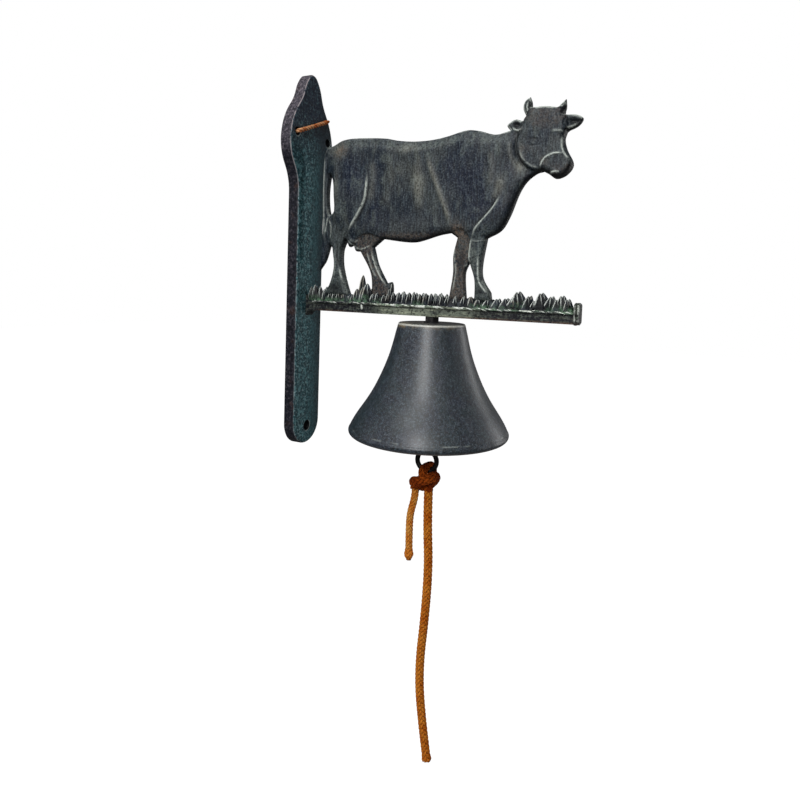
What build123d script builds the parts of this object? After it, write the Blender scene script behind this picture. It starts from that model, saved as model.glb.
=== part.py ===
from build123d import *
import math
import os

# Wall mounted bell: a cast bracket with a cow on a grass arm, a cast bell, a clapper and a pull rope.
# Frame, mm: the wall is the plane X = 0, +X points out of the wall, +Z is up.
# Z = 0 is the middle of the arm's bar, and Y = 0 is the plane of the cow.

os.makedirs("parts", exist_ok=True)

# ---- wall plate ----
PLATE_T = 8.0
PLATE_TOP = 160.15
PLATE_BOTTOM = -98.8
PLATE_HALF_W = 15.9
PLATE_WAIST_Z = 78.0
PLATE_EDGE_R = 1.8
HEAD_ARC_ENDS = [
    (PLATE_HALF_W, PLATE_WAIST_Z), (21.2, 95.5), (25.9, 115.0), (16.5, 137.0), (10.6, 148.0), (4.5, 158.2),
    (0.0, PLATE_TOP),
]
TOP_HOLE_Y = 18.5
TOP_HOLE_Z = 117.6
TOP_HOLE_R = 2.8
LOW_HOLE_Z = -86.0
LOW_HOLE_R = 3.5

# ---- thin cord tied through the left hole ----
TIE_R = 1.5
TIE_END_Y = 19.6
TIE_END_Z = 133.5
TIE_CLEAR = 0.3
TIE_BACK_X = 2.2
TIE_OVERRUN = 2.4
TIE_CORNER_R = 3.0
GROOVE_W = 4.2
GROOVE_DEPTH = 4.5

# ---- arm ----
ARM_END = 195.0
ARM_TOP = 3.5
ARM_BOTTOM = -3.0
ARM_HALF_Y = 4.4
ARM_BEAD_R = 0.9
ARM_BEAD_Z = 3.0
ROOT_X = 14.0
ROOT_TOP = 8.0
ROOT_BOTTOM = -6.8
CAP_X = 191.6
CAP_R = 0.5 * (ARM_END - CAP_X)
CAP_SIDE_TOP = 7.7
CAP_SIDE_BOTTOM = -1.5

# ---- grass and cow ----
GRASS_HALF_Y = 3.2
GRASS_BASE_TOP = 8.0
GRASS_ENDS = (14.5, 191.2)
BLADE_PITCH = 4.2
BLADE_FIELDS = [(15.0, 19.6), (43.4, 49.4), (76.0, 112.8), (142.8, 190.6)]
BLADE_TIP = 13.2
BLADE_VARIES = 2.0
TALL_BLADE = [(50.0, GRASS_BASE_TOP), (51.8, 22.8), (53.6, 14.5), (55.6, 16.6), (57.6, GRASS_BASE_TOP)]
FLAT_Y = 2.8
BARREL_Y = 4.6
MUSCLE_Y = 5.4
HEAD_Y = 6.2

# ---- bell on its bolt ----
BELL_X = 102.7
WASHER_TOP = -6.1
BELL_TOP = -7.1
CROWN_IN = -13.3
BELL_LIP_Z = -79.5
BELL_CROWN_R = 21.3
BELL_CROWN_EDGE = 1.2
BELL_OUTER = [
    (BELL_CROWN_R, BELL_TOP), (23.7, -16.5), (26.3, -26.5), (29.2, -34.8), (32.7, -43.2), (36.7, -51.3),
    (41.6, -59.4), (46.7, -67.0), (51.0, -75.0),
]
BELL_LIP = (49.8, BELL_LIP_Z)
BELL_INNER = [
    (46.1, -76.6), (42.8, -69.8), (37.5, -61.8), (32.6, -53.8), (28.6, -45.6), (25.1, -36.9), (22.3, -28.4),
    (19.8, -18.8), (17.6, CROWN_IN),
]
SHANK_R = 2.5
SHANK_TOP = 2.5
NUT_FLATS = 8.0
WASHER_R = 5.2
COLLAR_R = 4.5
COLLAR_T = 2.0

# ---- eye, link, clapper and ring ----
EYE_R = 5.0
EYE_WIRE_R = 1.5
EYE_Z = -20.3
HANG_GAP = 0.35
LINK_R = 5.2
LINK_WIRE_R = 1.25
CLAPPER_EYE_R = 4.5
CLAPPER_ROD_R = 1.6
BALL_R = 13.0
BALL_Z = -64.0
RING_R = 6.7
RING_WIRE_R = 1.6
RING_Z = -96.9

EYE_FOOT = EYE_Z - EYE_R
LINK_TOP = EYE_FOOT + EYE_WIRE_R + LINK_WIRE_R + HANG_GAP
LINK_Z = LINK_TOP - LINK_R
LINK_FOOT = LINK_Z - LINK_R
CLAPPER_EYE_Z = LINK_FOOT + EYE_WIRE_R + LINK_WIRE_R + HANG_GAP - CLAPPER_EYE_R
CLAPPER_EYE_FOOT = CLAPPER_EYE_Z - CLAPPER_EYE_R
RING_FOOT = RING_Z - RING_R

# ---- pull rope ----
ROPE_R = 3.0
TAIL_R = 2.5
ROPE_CLEAR = 0.3
LOOP_R = RING_WIRE_R + ROPE_R + ROPE_CLEAR
KNOT_X = 101.2
KNOT_TOP = -107.6
KNOT_BOTTOM = -116.6
KNOT_RX = 9.7
KNOT_RY = 8.9
KNOT_EDGE = 1.2
ROPE_ROUTE = [
    (104.5, 0.0, KNOT_BOTTOM), (104.5, 0.0, -138.0), (106.4, 0.3, -166.0), (105.4, -0.3, -199.0),
    (102.0, 0.2, -236.0), (104.4, 0.0, -266.0), (110.2, -0.4, -297.2),
]
TAIL_ROUTE = [
    (95.2, 0.0, KNOT_BOTTOM), (95.2, 0.0, -122.6), (91.9, -0.4, -134.5), (92.0, -0.5, -150.0),
    (92.2, -0.3, -165.2),
]

# Side outline of the cow as (X, Z) stretches. Each stretch is smooth, and they meet at corners.
COW_OUTLINE = [
    [(27.0, 111.0), (33.5, 113.7), (43.5, 114.2), (65.5, 112.5), (75.5, 110.3), (86.5, 109.0), (98.5, 109.0),
     (109.0, 110.4), (122.0, 113.2), (130.0, 112.2), (140.5, 109.2), (149.3, 111.0)],
    [(149.3, 111.0), (147.3, 114.2), (152.4, 117.4), (156.6, 116.0)],
    [(156.6, 116.0), (158.6, 118.7)],
    [(158.6, 118.7), (156.6, 123.0), (157.5, 127.0), (160.6, 129.2)],
    [(160.6, 129.2), (161.7, 126.5), (162.0, 123.4)],
    [(162.0, 123.4), (170.0, 123.6), (176.6, 122.2)],
    [(176.6, 122.2), (178.4, 123.8), (181.3, 126.2)],
    [(181.3, 126.2), (181.7, 122.0), (180.6, 117.5)],
    [(180.6, 117.5), (187.8, 117.0), (191.4, 114.2), (188.9, 110.2), (182.6, 107.4)],
    [(182.6, 107.4), (181.6, 103.0), (182.9, 97.5), (186.9, 88.5), (183.5, 83.0), (177.6, 80.8), (173.2, 83.6),
     (170.0, 85.4)],
    [(170.0, 85.4), (165.5, 83.6), (160.5, 79.5), (156.5, 73.0), (151.0, 59.0), (146.2, 51.2), (137.7, 46.5)],
    [(137.7, 46.5), (135.2, 30.0), (135.9, 22.0), (141.2, 13.4)],
    [(141.2, 13.4), (142.0, GRASS_BASE_TOP)],
    [(142.0, GRASS_BASE_TOP), (131.0, GRASS_BASE_TOP)],
    [(131.0, GRASS_BASE_TOP), (130.5, 21.0), (127.0, 31.8)],
    [(127.0, 31.8), (124.5, 25.0), (125.7, GRASS_BASE_TOP)],
    [(125.7, GRASS_BASE_TOP), (113.8, GRASS_BASE_TOP)],
    [(113.8, GRASS_BASE_TOP), (116.1, 25.0), (115.9, 36.0), (118.3, 47.0)],
    [(118.3, 47.0), (114.0, 50.0)],
    [(114.0, 50.0), (106.5, 48.7), (91.5, 44.5), (83.8, 44.3), (66.4, 46.4)],
    [(66.4, 46.4), (59.5, 40.9)],
    [(59.5, 40.9), (63.0, 29.5), (70.0, 17.3)],
    [(70.0, 17.3), (73.6, 18.0), (74.7, GRASS_BASE_TOP)],
    [(74.7, GRASS_BASE_TOP), (58.8, GRASS_BASE_TOP)],
    [(58.8, GRASS_BASE_TOP), (57.4, 23.5), (49.1, 38.1)],
    [(49.1, 38.1), (45.6, 38.5), (43.5, 42.0), (40.5, 41.2), (38.0, 45.9)],
    [(38.0, 45.9), (35.0, 38.0), (36.1, 24.0), (41.8, GRASS_BASE_TOP)],
    [(41.8, GRASS_BASE_TOP), (20.6, GRASS_BASE_TOP)],
    [(20.6, GRASS_BASE_TOP), (25.9, 16.5), (28.7, 28.0), (27.2, 40.6)],
    [(27.2, 40.6), (25.2, 42.4)],
    [(25.2, 42.4), (21.4, 31.6), (16.6, 24.6)],
    [(16.6, 24.6), (18.3, 52.0), (17.9, 70.0), (17.9, 92.0), (20.0, 107.8), (27.0, 111.0)],
]
TAIL_GAP = [(24.0, 90.0), (25.8, 87.0), (27.2, 76.0), (27.5, 66.0), (24.4, 63.4), (22.5, 76.0)]
BARREL = [
    (32.0, 103.0), (47.0, 109.5), (72.0, 107.0), (96.0, 104.6), (121.0, 108.8), (138.0, 104.5), (148.0, 92.0),
    (149.0, 72.0), (141.0, 56.0), (120.0, 54.0), (86.0, 49.0), (62.0, 52.0), (42.0, 60.0), (31.0, 78.0),
]
HEAD = [
    (160.5, 117.5), (170.0, 121.0), (180.0, 116.5), (181.0, 104.0), (185.0, 90.5), (178.5, 83.5), (171.0, 88.0),
    (162.0, 91.0), (157.5, 98.0), (157.0, 108.0),
]
HAUNCH = (41.5, 81.0, 12.0, 24.0)
SHOULDER = (136.0, 78.0, 11.0, 23.0)


def outline(stretches):
    """Add a closed outline: straight where a stretch has two points, smooth through more."""
    for points in stretches:
        if len(points) == 2:
            Line(*points)
        else:
            Spline(*points)


def route_radii(points):
    """Bend radius at each inner point: 0.45 of the shorter run over the tangent of half the turn."""
    vectors = [Vector(*p) for p in points]
    radii = []
    for before, here, after in zip(vectors, vectors[1:], vectors[2:]):
        run_in = here - before
        run_out = after - here
        turn = math.radians(run_in.get_angle(run_out))
        radii.append(0.45 * min(run_in.length, run_out.length) / math.tan(turn / 2))
    return radii


def report_cord(name, part, path, radius, radii):
    """Print the bend radii and compare the tube's volume with its section times its length."""
    length = sum(edge.length for edge in path.edges())
    ideal = math.pi * radius ** 2 * length
    print(name, "length", round(length, 1), "radii", [round(r, 1) for r in radii],
          "volume ratio", round(part.volume / ideal, 4))


def blade_points():
    """Zigzag blade outlines between the cow's hooves, uneven in height."""
    fields = []
    count = 0
    for start, end in BLADE_FIELDS:
        blades = max(1, round((end - start) / BLADE_PITCH))
        pitch = (end - start) / blades
        points = [(start, GRASS_BASE_TOP)]
        for i in range(blades):
            tip = BLADE_TIP + BLADE_VARIES * math.sin(2.3 * count)
            lean = 0.5 + 0.18 * math.sin(1.7 * count)
            points.append((start + (i + lean) * pitch, tip))
            if i < blades - 1:
                points.append((start + (i + 1) * pitch, GRASS_BASE_TOP + 1.4))
            count += 1
        points.append((end, GRASS_BASE_TOP))
        fields.append(points)
    return fields


# The plate: an ogee head over a long strap with a round foot, three screw holes and a flat back.
with BuildPart() as wall_plate:
    with BuildSketch(Plane.YZ):
        with BuildLine():
            direction = (0, 1)
            for arc_start, arc_end in zip(HEAD_ARC_ENDS, HEAD_ARC_ENDS[1:]):
                direction = TangentArc(arc_start, arc_end, tangent=direction) % 1
            Line((PLATE_HALF_W, PLATE_WAIST_Z), (PLATE_HALF_W, PLATE_BOTTOM + PLATE_HALF_W))
            RadiusArc((0, PLATE_BOTTOM), (PLATE_HALF_W, PLATE_BOTTOM + PLATE_HALF_W), -PLATE_HALF_W)
            Line((0, PLATE_BOTTOM), (0, PLATE_TOP))
        make_face()
        mirror(about=Plane.YZ)
    extrude(amount=PLATE_T)
    fillet(wall_plate.faces().sort_by(Axis.X)[-1].outer_wire().edges(), radius=PLATE_EDGE_R)
    with BuildSketch(Plane.YZ):
        with Locations((-TOP_HOLE_Y, TOP_HOLE_Z), (TOP_HOLE_Y, TOP_HOLE_Z)):
            Circle(TOP_HOLE_R)
        with Locations((0, LOW_HOLE_Z)):
            Circle(LOW_HOLE_R)
    extrude(amount=PLATE_T, mode=Mode.SUBTRACT)
    # A shallow groove in the back lets the thin cord pass behind the plate without touching the wall.
    tie_dir = Vector(TIE_END_Y + TOP_HOLE_Y, TIE_END_Z - TOP_HOLE_Z)
    tie_angle = math.degrees(math.atan2(tie_dir.Y, tie_dir.X))
    tie_run = tie_dir.length
    with BuildSketch(Plane.YZ):
        with Locations(Location((-TOP_HOLE_Y, TOP_HOLE_Z), tie_angle)):
            Rectangle(tie_run + 3 * TIE_OVERRUN, GROOVE_W, align=(Align.MIN, Align.CENTER))
    extrude(amount=GROOVE_DEPTH, mode=Mode.SUBTRACT)
wall_plate.part.label = "wall_plate"

# The arm: a bar with a beaded top edge, flared where it meets the plate, and a rounded end.
with BuildPart() as arm_bar:
    with BuildSketch(Plane.XZ):
        with BuildLine():
            Line((PLATE_T, ROOT_BOTTOM), (PLATE_T, ROOT_TOP))
            TangentArc((PLATE_T, ROOT_TOP), (ROOT_X, ARM_TOP), tangent=(0.25, -1))
            Line((ROOT_X, ARM_TOP), (CAP_X, ARM_TOP))
            Line((CAP_X, ARM_TOP), (CAP_X, CAP_SIDE_TOP))
            ThreePointArc((CAP_X, CAP_SIDE_TOP), (CAP_X + CAP_R, CAP_SIDE_TOP + CAP_R), (ARM_END, CAP_SIDE_TOP))
            Line((ARM_END, CAP_SIDE_TOP), (ARM_END, CAP_SIDE_BOTTOM))
            TangentArc((ARM_END, CAP_SIDE_BOTTOM), (CAP_X, ARM_BOTTOM), tangent=(0, -1))
            Line((CAP_X, ARM_BOTTOM), (ROOT_X, ARM_BOTTOM))
            TangentArc((PLATE_T, ROOT_BOTTOM), (ROOT_X, ARM_BOTTOM), tangent=(0.25, 1))
        make_face()
    extrude(amount=ARM_HALF_Y, both=True)
    with Locations((ROOT_X, ARM_HALF_Y, ARM_BEAD_Z), (ROOT_X, -ARM_HALF_Y, ARM_BEAD_Z)):
        Cylinder(ARM_BEAD_R, CAP_X - ROOT_X + 1.0, rotation=(0, 90, 0), align=(Align.CENTER, Align.CENTER, Align.MIN))
    with Locations((BELL_X, 0, ARM_BOTTOM)):
        Cylinder(SHANK_R, SHANK_TOP - ARM_BOTTOM, align=(Align.CENTER, Align.CENTER, Align.MIN), mode=Mode.SUBTRACT)
arm_bar.part.label = "arm_bar"

# The grass: a low bank on the bar with pointed blades between the hooves.
with BuildPart() as grass:
    with BuildSketch(Plane.XZ):
        with BuildLine():
            Polyline((GRASS_ENDS[0], ARM_TOP), (GRASS_ENDS[1], ARM_TOP), (GRASS_ENDS[1], GRASS_BASE_TOP),
                     (GRASS_ENDS[0], GRASS_BASE_TOP), close=True)
        make_face()
        for field in blade_points() + [TALL_BLADE]:
            with BuildLine():
                Polyline(*field, close=True)
            make_face()
    extrude(amount=GRASS_HALF_Y, both=True)
grass.part.label = "grass"

# The cow: a flat casting, thicker at the barrel, haunch, shoulder and head.
with BuildPart() as cow:
    with BuildSketch(Plane.XZ):
        with BuildLine():
            outline(COW_OUTLINE)
        make_face()
        with BuildLine():
            Spline(*TAIL_GAP, periodic=True)
        make_face(mode=Mode.SUBTRACT)
    extrude(amount=FLAT_Y, both=True)
    with BuildSketch(Plane.XZ):
        with BuildLine():
            Spline(*BARREL, periodic=True)
        make_face()
    extrude(amount=BARREL_Y, both=True)
    with BuildSketch(Plane.XZ):
        for centre_x, centre_z, half_x, half_z in (HAUNCH, SHOULDER):
            with Locations((centre_x, centre_z)):
                Ellipse(half_x, half_z)
    extrude(amount=MUSCLE_Y, both=True)
    with BuildSketch(Plane.XZ):
        with BuildLine():
            Spline(*HEAD, periodic=True)
        make_face()
    extrude(amount=HEAD_Y, both=True)
cow.part.label = "cow"

# The bell: a flat crown, a side that flares towards the mouth and a thick rounded lip.
with BuildPart() as bell:
    with BuildSketch(Plane.XZ):
        with BuildLine():
            Line((SHANK_R, BELL_TOP), BELL_OUTER[0])
            Spline(*BELL_OUTER)
            ThreePointArc(BELL_OUTER[-1], BELL_LIP, BELL_INNER[0])
            Spline(*BELL_INNER)
            Line(BELL_INNER[-1], (SHANK_R, CROWN_IN))
            Line((SHANK_R, CROWN_IN), (SHANK_R, BELL_TOP))
        make_face()
    revolve(axis=Axis.Z)
    fillet(bell.faces().sort_by(Axis.Z)[-1].outer_wire().edges(), radius=BELL_CROWN_EDGE)
bell.part = bell.part.moved(Location((BELL_X, 0, 0)))
bell.part.label = "bell"

with BuildPart() as crown_washer:
    with BuildSketch(Plane.XY.offset(BELL_TOP)):
        with Locations((BELL_X, 0)):
            Circle(WASHER_R)
            Circle(SHANK_R, mode=Mode.SUBTRACT)
    extrude(amount=WASHER_TOP - BELL_TOP)
crown_washer.part.label = "crown_washer"

with BuildPart() as neck_nut:
    with BuildSketch(Plane.XY.offset(WASHER_TOP)):
        with Locations((BELL_X, 0)):
            RegularPolygon(NUT_FLATS / 2, 6, major_radius=False)
            Circle(SHANK_R, mode=Mode.SUBTRACT)
    extrude(amount=ARM_BOTTOM - WASHER_TOP)
neck_nut.part.label = "neck_nut"

# The eyebolt: its collar sits under the crown, and its shank goes through the bell into the arm.
with BuildPart() as eyebolt:
    with Locations((BELL_X, 0, CROWN_IN - COLLAR_T)):
        Cylinder(SHANK_R, SHANK_TOP - CROWN_IN + COLLAR_T, align=(Align.CENTER, Align.CENTER, Align.MIN))
        Cylinder(COLLAR_R, COLLAR_T, align=(Align.CENTER, Align.CENTER, Align.MIN))
    with Locations((BELL_X, 0, EYE_Z)):
        Torus(EYE_R, EYE_WIRE_R, rotation=(90, 0, 0))
eyebolt.part.label = "eyebolt"

with BuildPart() as hanger_link:
    with Locations((BELL_X, 0, LINK_Z)):
        Torus(LINK_R, LINK_WIRE_R, rotation=(0, 90, 0))
hanger_link.part.label = "hanger_link"

with BuildPart() as pull_ring:
    with Locations((BELL_X, 0, RING_Z)):
        Torus(RING_R, RING_WIRE_R, rotation=(90, 0, 0))
pull_ring.part.label = "pull_ring"

# The clapper's rod: an eye on the link at the top, and its foot is shaped to the ring below.
with BuildPart() as clapper_rod:
    with Locations((BELL_X, 0, CLAPPER_EYE_Z)):
        Torus(CLAPPER_EYE_R, EYE_WIRE_R, rotation=(90, 0, 0))
    with Locations((BELL_X, 0, CLAPPER_EYE_FOOT)):
        Cylinder(CLAPPER_ROD_R, CLAPPER_EYE_FOOT - RING_Z - RING_R, align=(Align.CENTER, Align.CENTER, Align.MAX))
    add(pull_ring.part, mode=Mode.SUBTRACT)
clapper_rod.part.label = "clapper_rod"

with BuildPart() as clapper_ball:
    with Locations((BELL_X, 0, BALL_Z)):
        Sphere(BALL_R)
        Cylinder(CLAPPER_ROD_R, 3 * BALL_R, mode=Mode.SUBTRACT)
clapper_ball.part.label = "clapper_ball"

# The rope's bight over the ring: a half turn and two short legs down to the knot.
with BuildPart() as rope_loop:
    with BuildLine(Plane.YZ.offset(BELL_X)) as bight:
        Line((-LOOP_R, KNOT_TOP), (-LOOP_R, RING_FOOT))
        ThreePointArc((-LOOP_R, RING_FOOT), (0, RING_FOOT + LOOP_R), (LOOP_R, RING_FOOT))
        Line((LOOP_R, RING_FOOT), (LOOP_R, KNOT_TOP))
    with BuildSketch(Plane(origin=(BELL_X, -LOOP_R, KNOT_TOP), z_dir=(0, 0, 1))):
        Circle(ROPE_R)
    sweep(path=bight.line)
rope_loop.part.label = "rope_loop"

with BuildPart() as rope_knot:
    with BuildSketch(Plane.XY.offset(KNOT_BOTTOM)):
        with Locations((KNOT_X, 0)):
            Ellipse(KNOT_RX, KNOT_RY)
    extrude(amount=KNOT_TOP - KNOT_BOTTOM)
    chamfer(rope_knot.edges().filter_by(Plane.XY), length=KNOT_EDGE)
rope_knot.part.label = "rope_knot"

# The hanging part of the rope and the short tail beside it, both from the knot's foot.
with BuildPart() as rope_cord:
    with BuildLine() as rope_line:
        FilletPolyline(*ROPE_ROUTE, radius=route_radii(ROPE_ROUTE))
    with BuildSketch(Plane(origin=ROPE_ROUTE[0], z_dir=rope_line.line % 0)):
        Circle(ROPE_R)
    sweep()
rope_cord.part.label = "rope_cord"
report_cord("rope_cord", rope_cord.part, rope_line.line, ROPE_R, route_radii(ROPE_ROUTE))

with BuildPart() as rope_tail:
    with BuildLine() as tail_line:
        FilletPolyline(*TAIL_ROUTE, radius=route_radii(TAIL_ROUTE))
    with BuildSketch(Plane(origin=TAIL_ROUTE[0], z_dir=tail_line.line % 0)):
        Circle(TAIL_R)
    sweep()
rope_tail.part.label = "rope_tail"
report_cord("rope_tail", rope_tail.part, tail_line.line, TAIL_R, route_radii(TAIL_ROUTE))

# The thin cord: a closed loop through the left hole, over the face and back through the groove.
tie_plane = Plane(origin=(0, -TOP_HOLE_Y, TOP_HOLE_Z), x_dir=(0, tie_dir.X, tie_dir.Y), z_dir=(0, -tie_dir.Y, tie_dir.X))
tie_front = -(PLATE_T + TIE_R + TIE_CLEAR)
with BuildPart() as tie_cord:
    with BuildLine(tie_plane) as tie_line:
        FilletPolyline((0, tie_front), (tie_run + TIE_OVERRUN, tie_front), (tie_run + TIE_OVERRUN, -TIE_BACK_X),
                       (0, -TIE_BACK_X), radius=TIE_CORNER_R, close=True)
    with BuildSketch(Plane(origin=tie_line.line @ 0, z_dir=tie_line.line % 0)):
        Circle(TIE_R)
    sweep()
tie_cord.part.label = "tie_cord"
report_cord("tie_cord", tie_cord.part, tie_line.line, TIE_R, [TIE_CORNER_R])

NODES = [
    wall_plate, arm_bar, grass, cow, bell, crown_washer, neck_nut, eyebolt, hanger_link, clapper_rod,
    clapper_ball, pull_ring, rope_loop, rope_knot, rope_cord, rope_tail, tie_cord,
]
for node in NODES:
    box = node.part.bounding_box()
    print(node.part.label, round(node.part.volume), len(node.part.solids()), box.min, box.max)

export_step(wall_plate.part, "parts/wall_plate.step")
export_step(arm_bar.part, "parts/arm_bar.step")
export_step(grass.part, "parts/grass.step")
export_step(cow.part, "parts/cow.step")
export_step(bell.part, "parts/bell.step")
export_step(crown_washer.part, "parts/crown_washer.step")
export_step(neck_nut.part, "parts/neck_nut.step")
export_step(eyebolt.part, "parts/eyebolt.step")
export_step(hanger_link.part, "parts/hanger_link.step")
export_step(clapper_rod.part, "parts/clapper_rod.step")
export_step(clapper_ball.part, "parts/clapper_ball.step")
export_step(pull_ring.part, "parts/pull_ring.step")
export_step(rope_loop.part, "parts/rope_loop.step")
export_step(rope_knot.part, "parts/rope_knot.step")
export_step(rope_cord.part, "parts/rope_cord.step")
export_step(rope_tail.part, "parts/rope_tail.step")
export_step(tie_cord.part, "parts/tie_cord.step")
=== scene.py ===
import math

import bpy
import numpy as np
from mathutils import Matrix, Vector, kdtree
from mathutils.geometry import delaunay_2d_cdt


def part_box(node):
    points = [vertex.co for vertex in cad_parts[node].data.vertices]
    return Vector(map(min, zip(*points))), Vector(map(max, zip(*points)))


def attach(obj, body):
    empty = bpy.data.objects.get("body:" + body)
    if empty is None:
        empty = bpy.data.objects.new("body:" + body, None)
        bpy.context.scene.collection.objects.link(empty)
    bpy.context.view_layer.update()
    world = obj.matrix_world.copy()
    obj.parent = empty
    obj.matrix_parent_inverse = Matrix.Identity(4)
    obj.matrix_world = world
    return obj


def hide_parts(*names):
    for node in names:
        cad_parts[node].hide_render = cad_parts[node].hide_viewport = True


# Wall mounted bell: the looks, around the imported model, in the row frame: X out of the wall, Z up,
# Y = 0 the cow's plane. Lengths are in millimetres, and place() turns them into metres. Only the last
# section, with the lamps, the floor and the camera, is in metres itself.

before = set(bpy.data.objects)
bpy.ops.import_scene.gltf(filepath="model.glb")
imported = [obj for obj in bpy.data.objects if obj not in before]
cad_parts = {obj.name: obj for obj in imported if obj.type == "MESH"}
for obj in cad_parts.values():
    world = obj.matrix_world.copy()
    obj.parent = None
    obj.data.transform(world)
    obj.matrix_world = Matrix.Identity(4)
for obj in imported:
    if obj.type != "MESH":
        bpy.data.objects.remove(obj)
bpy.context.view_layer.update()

MM = 0.001
FRONT = -1.0
BACK = 1.0


def box_mm(node):
    """A CAD node's lowest and highest corner, in millimetres."""
    low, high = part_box(node)
    return np.array(low) / MM, np.array(high) / MM


BELL_LOW, BELL_HIGH = box_mm("bell")
BELL_X = 0.5 * (BELL_LOW[0] + BELL_HIGH[0])
ARM_END = box_mm("arm_bar")[1][0]
GRASS_LOW, GRASS_HIGH = box_mm("grass")


# -------------------------------- numbers and curves

def smoothstep(low, high, value):
    t = np.clip((value - low) / (high - low), 0.0, 1.0)
    return t * t * (3.0 - 2.0 * t)


def lerp(a, b, weight):
    return a + (b - a) * weight


def unit(vectors):
    return vectors / np.linalg.norm(vectors, axis=-1, keepdims=True)


def lattice(u, v, seed):
    """Smooth noise from -1 to 1 on a unit grid, the same on every run."""
    table = np.random.default_rng(seed).uniform(-1.0, 1.0, (64, 64))
    iu, iv = np.floor(u).astype(int), np.floor(v).astype(int)
    fu, fv = smoothstep(0.0, 1.0, u - iu), smoothstep(0.0, 1.0, v - iv)
    near, far = [lerp(table[iu % 64, k % 64], table[(iu + 1) % 64, k % 64], fu) for k in (iv, iv + 1)]
    return lerp(near, far, fv)


def catmull(points, step, closed=False):
    """Points about step apart on a smooth curve through the given ones, the last left out."""
    p = np.array(points, float)
    if closed:
        p = np.vstack([p[-1], p, p[:2]])
    else:
        p = np.vstack([2 * p[0] - p[1], p, 2 * p[-1] - p[-2]])
    out = []
    for a, b, c, d in zip(p, p[1:], p[2:], p[3:]):
        before, span, after = [np.linalg.norm(gap) for gap in (b - a, c - b, d - c)]
        count = max(1, int(round(span / step)))
        t = (np.arange(count) / count)[:, None]
        tangent_b = (c - a) * span / (span + before)
        tangent_c = (d - b) * span / (span + after)
        t2, t3 = t * t, t ** 3
        out.append((2 * t3 - 3 * t2 + 1) * b + (t3 - 2 * t2 + t) * tangent_b
                   + (3 * t2 - 2 * t3) * c + (t3 - t2) * tangent_c)
    return np.vstack(out)


def straight(a, b, step):
    """Points about step apart on a straight line, the last left out."""
    a, b = np.array(a, float), np.array(b, float)
    count = max(1, int(round(np.linalg.norm(b - a) / step)))
    return lerp(a, b, (np.arange(count) / count)[:, None])


def closed_outline(stretches, step):
    """One loop from stretches that each start where the one before ends."""
    out, start = [], stretches[-1][-1]
    for stretch in stretches:
        out.append(straight(start, *stretch, step) if len(stretch) == 1 else catmull([start] + stretch, step))
        start = stretch[-1]
    return np.vstack(out)


def inside(x, z, loop):
    hit = np.zeros(len(x), bool)
    for (ax, az), (bx, bz) in zip(loop, np.roll(loop, -1, axis=0)):
        if az != bz:
            hit ^= ((az > z) != (bz > z)) & (x < (bx - ax) * (z - az) / (bz - az) + ax)
    return hit


def nearest(x, z, line):
    """Distance from each point to a finely sampled line, and the index of the nearest sample."""
    tree = kdtree.KDTree(len(line))
    for i, (lx, lz) in enumerate(line):
        tree.insert((lx, lz, 0.0), i)
    tree.balance()
    found = [tree.find((px, pz, 0.0)) for px, pz in zip(x, z)]
    return np.array([f[2] for f in found]), np.array([f[1] for f in found])


def depth_in(x, z, loop):
    """Distance inside a loop, negative outside."""
    away, _ = nearest(x, z, loop)
    return np.where(inside(x, z, loop), away, -away)


# -------------------------------- meshes

def linked(name, data):
    """A new object of that name and data in the scene."""
    made = bpy.data.objects.new(name, data)
    bpy.context.scene.collection.objects.link(made)
    return made


def place(name, verts_mm, faces, body, material, smooth=True):
    """A mesh piece from vertices in millimetres, riding on a body."""
    mesh = bpy.data.meshes.new(name)
    mesh.from_pydata((np.asarray(verts_mm) * MM).tolist(), [], [tuple(f) for f in faces])
    mesh.polygons.foreach_set("use_smooth", [smooth] * len(mesh.polygons))
    mesh.materials.append(material)
    mesh.update()
    piece = linked(name, mesh)
    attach(piece, body)
    return piece


def paint(piece, name, values):
    """A colour attribute on the piece's vertices that its material reads."""
    rgba = np.ones((len(values), 4), np.float32)
    rgba[:, :values.shape[1]] = values
    attribute = piece.data.color_attributes.new(name, "FLOAT_COLOR", "POINT")
    attribute.data.foreach_set("color", rgba.ravel())


class Pile:
    """Collects vertices, faces and vertex values of many small shapes in one mesh."""

    def __init__(self):
        self.verts, self.faces, self.values, self.count = [], [], [], 0

    def add(self, verts, faces, values):
        self.verts.append(np.asarray(verts, float))
        self.faces += [tuple(int(i) + self.count for i in f) for f in faces]
        self.values.append(np.asarray(values, float))
        self.count += len(verts)

    def arrays(self):
        return np.vstack(self.verts), self.faces, np.vstack(self.values)


def ring_faces(rings, sides, closed_ends=True, cyclic=False):
    """Quads between rings of vertices laid one after another, with end caps."""
    ring = np.arange(rings if cyclic else rings - 1)[:, None] * sides
    following = (ring + sides) % (rings * sides)
    k = np.arange(sides)
    beside = (k + 1) % sides
    quads = np.stack([ring + k, ring + beside, following + beside, following + k], axis=-1)
    faces = quads.reshape(-1, 4).tolist()
    if closed_ends and not cyclic:
        faces.append(list(range(sides))[::-1])
        faces.append([(rings - 1) * sides + j for j in range(sides)])
    return faces


def neighbour_gap(loop):
    """From the point before to the point after, round a closed loop."""
    return np.roll(loop, -1, axis=0) - np.roll(loop, 1, axis=0)


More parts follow.
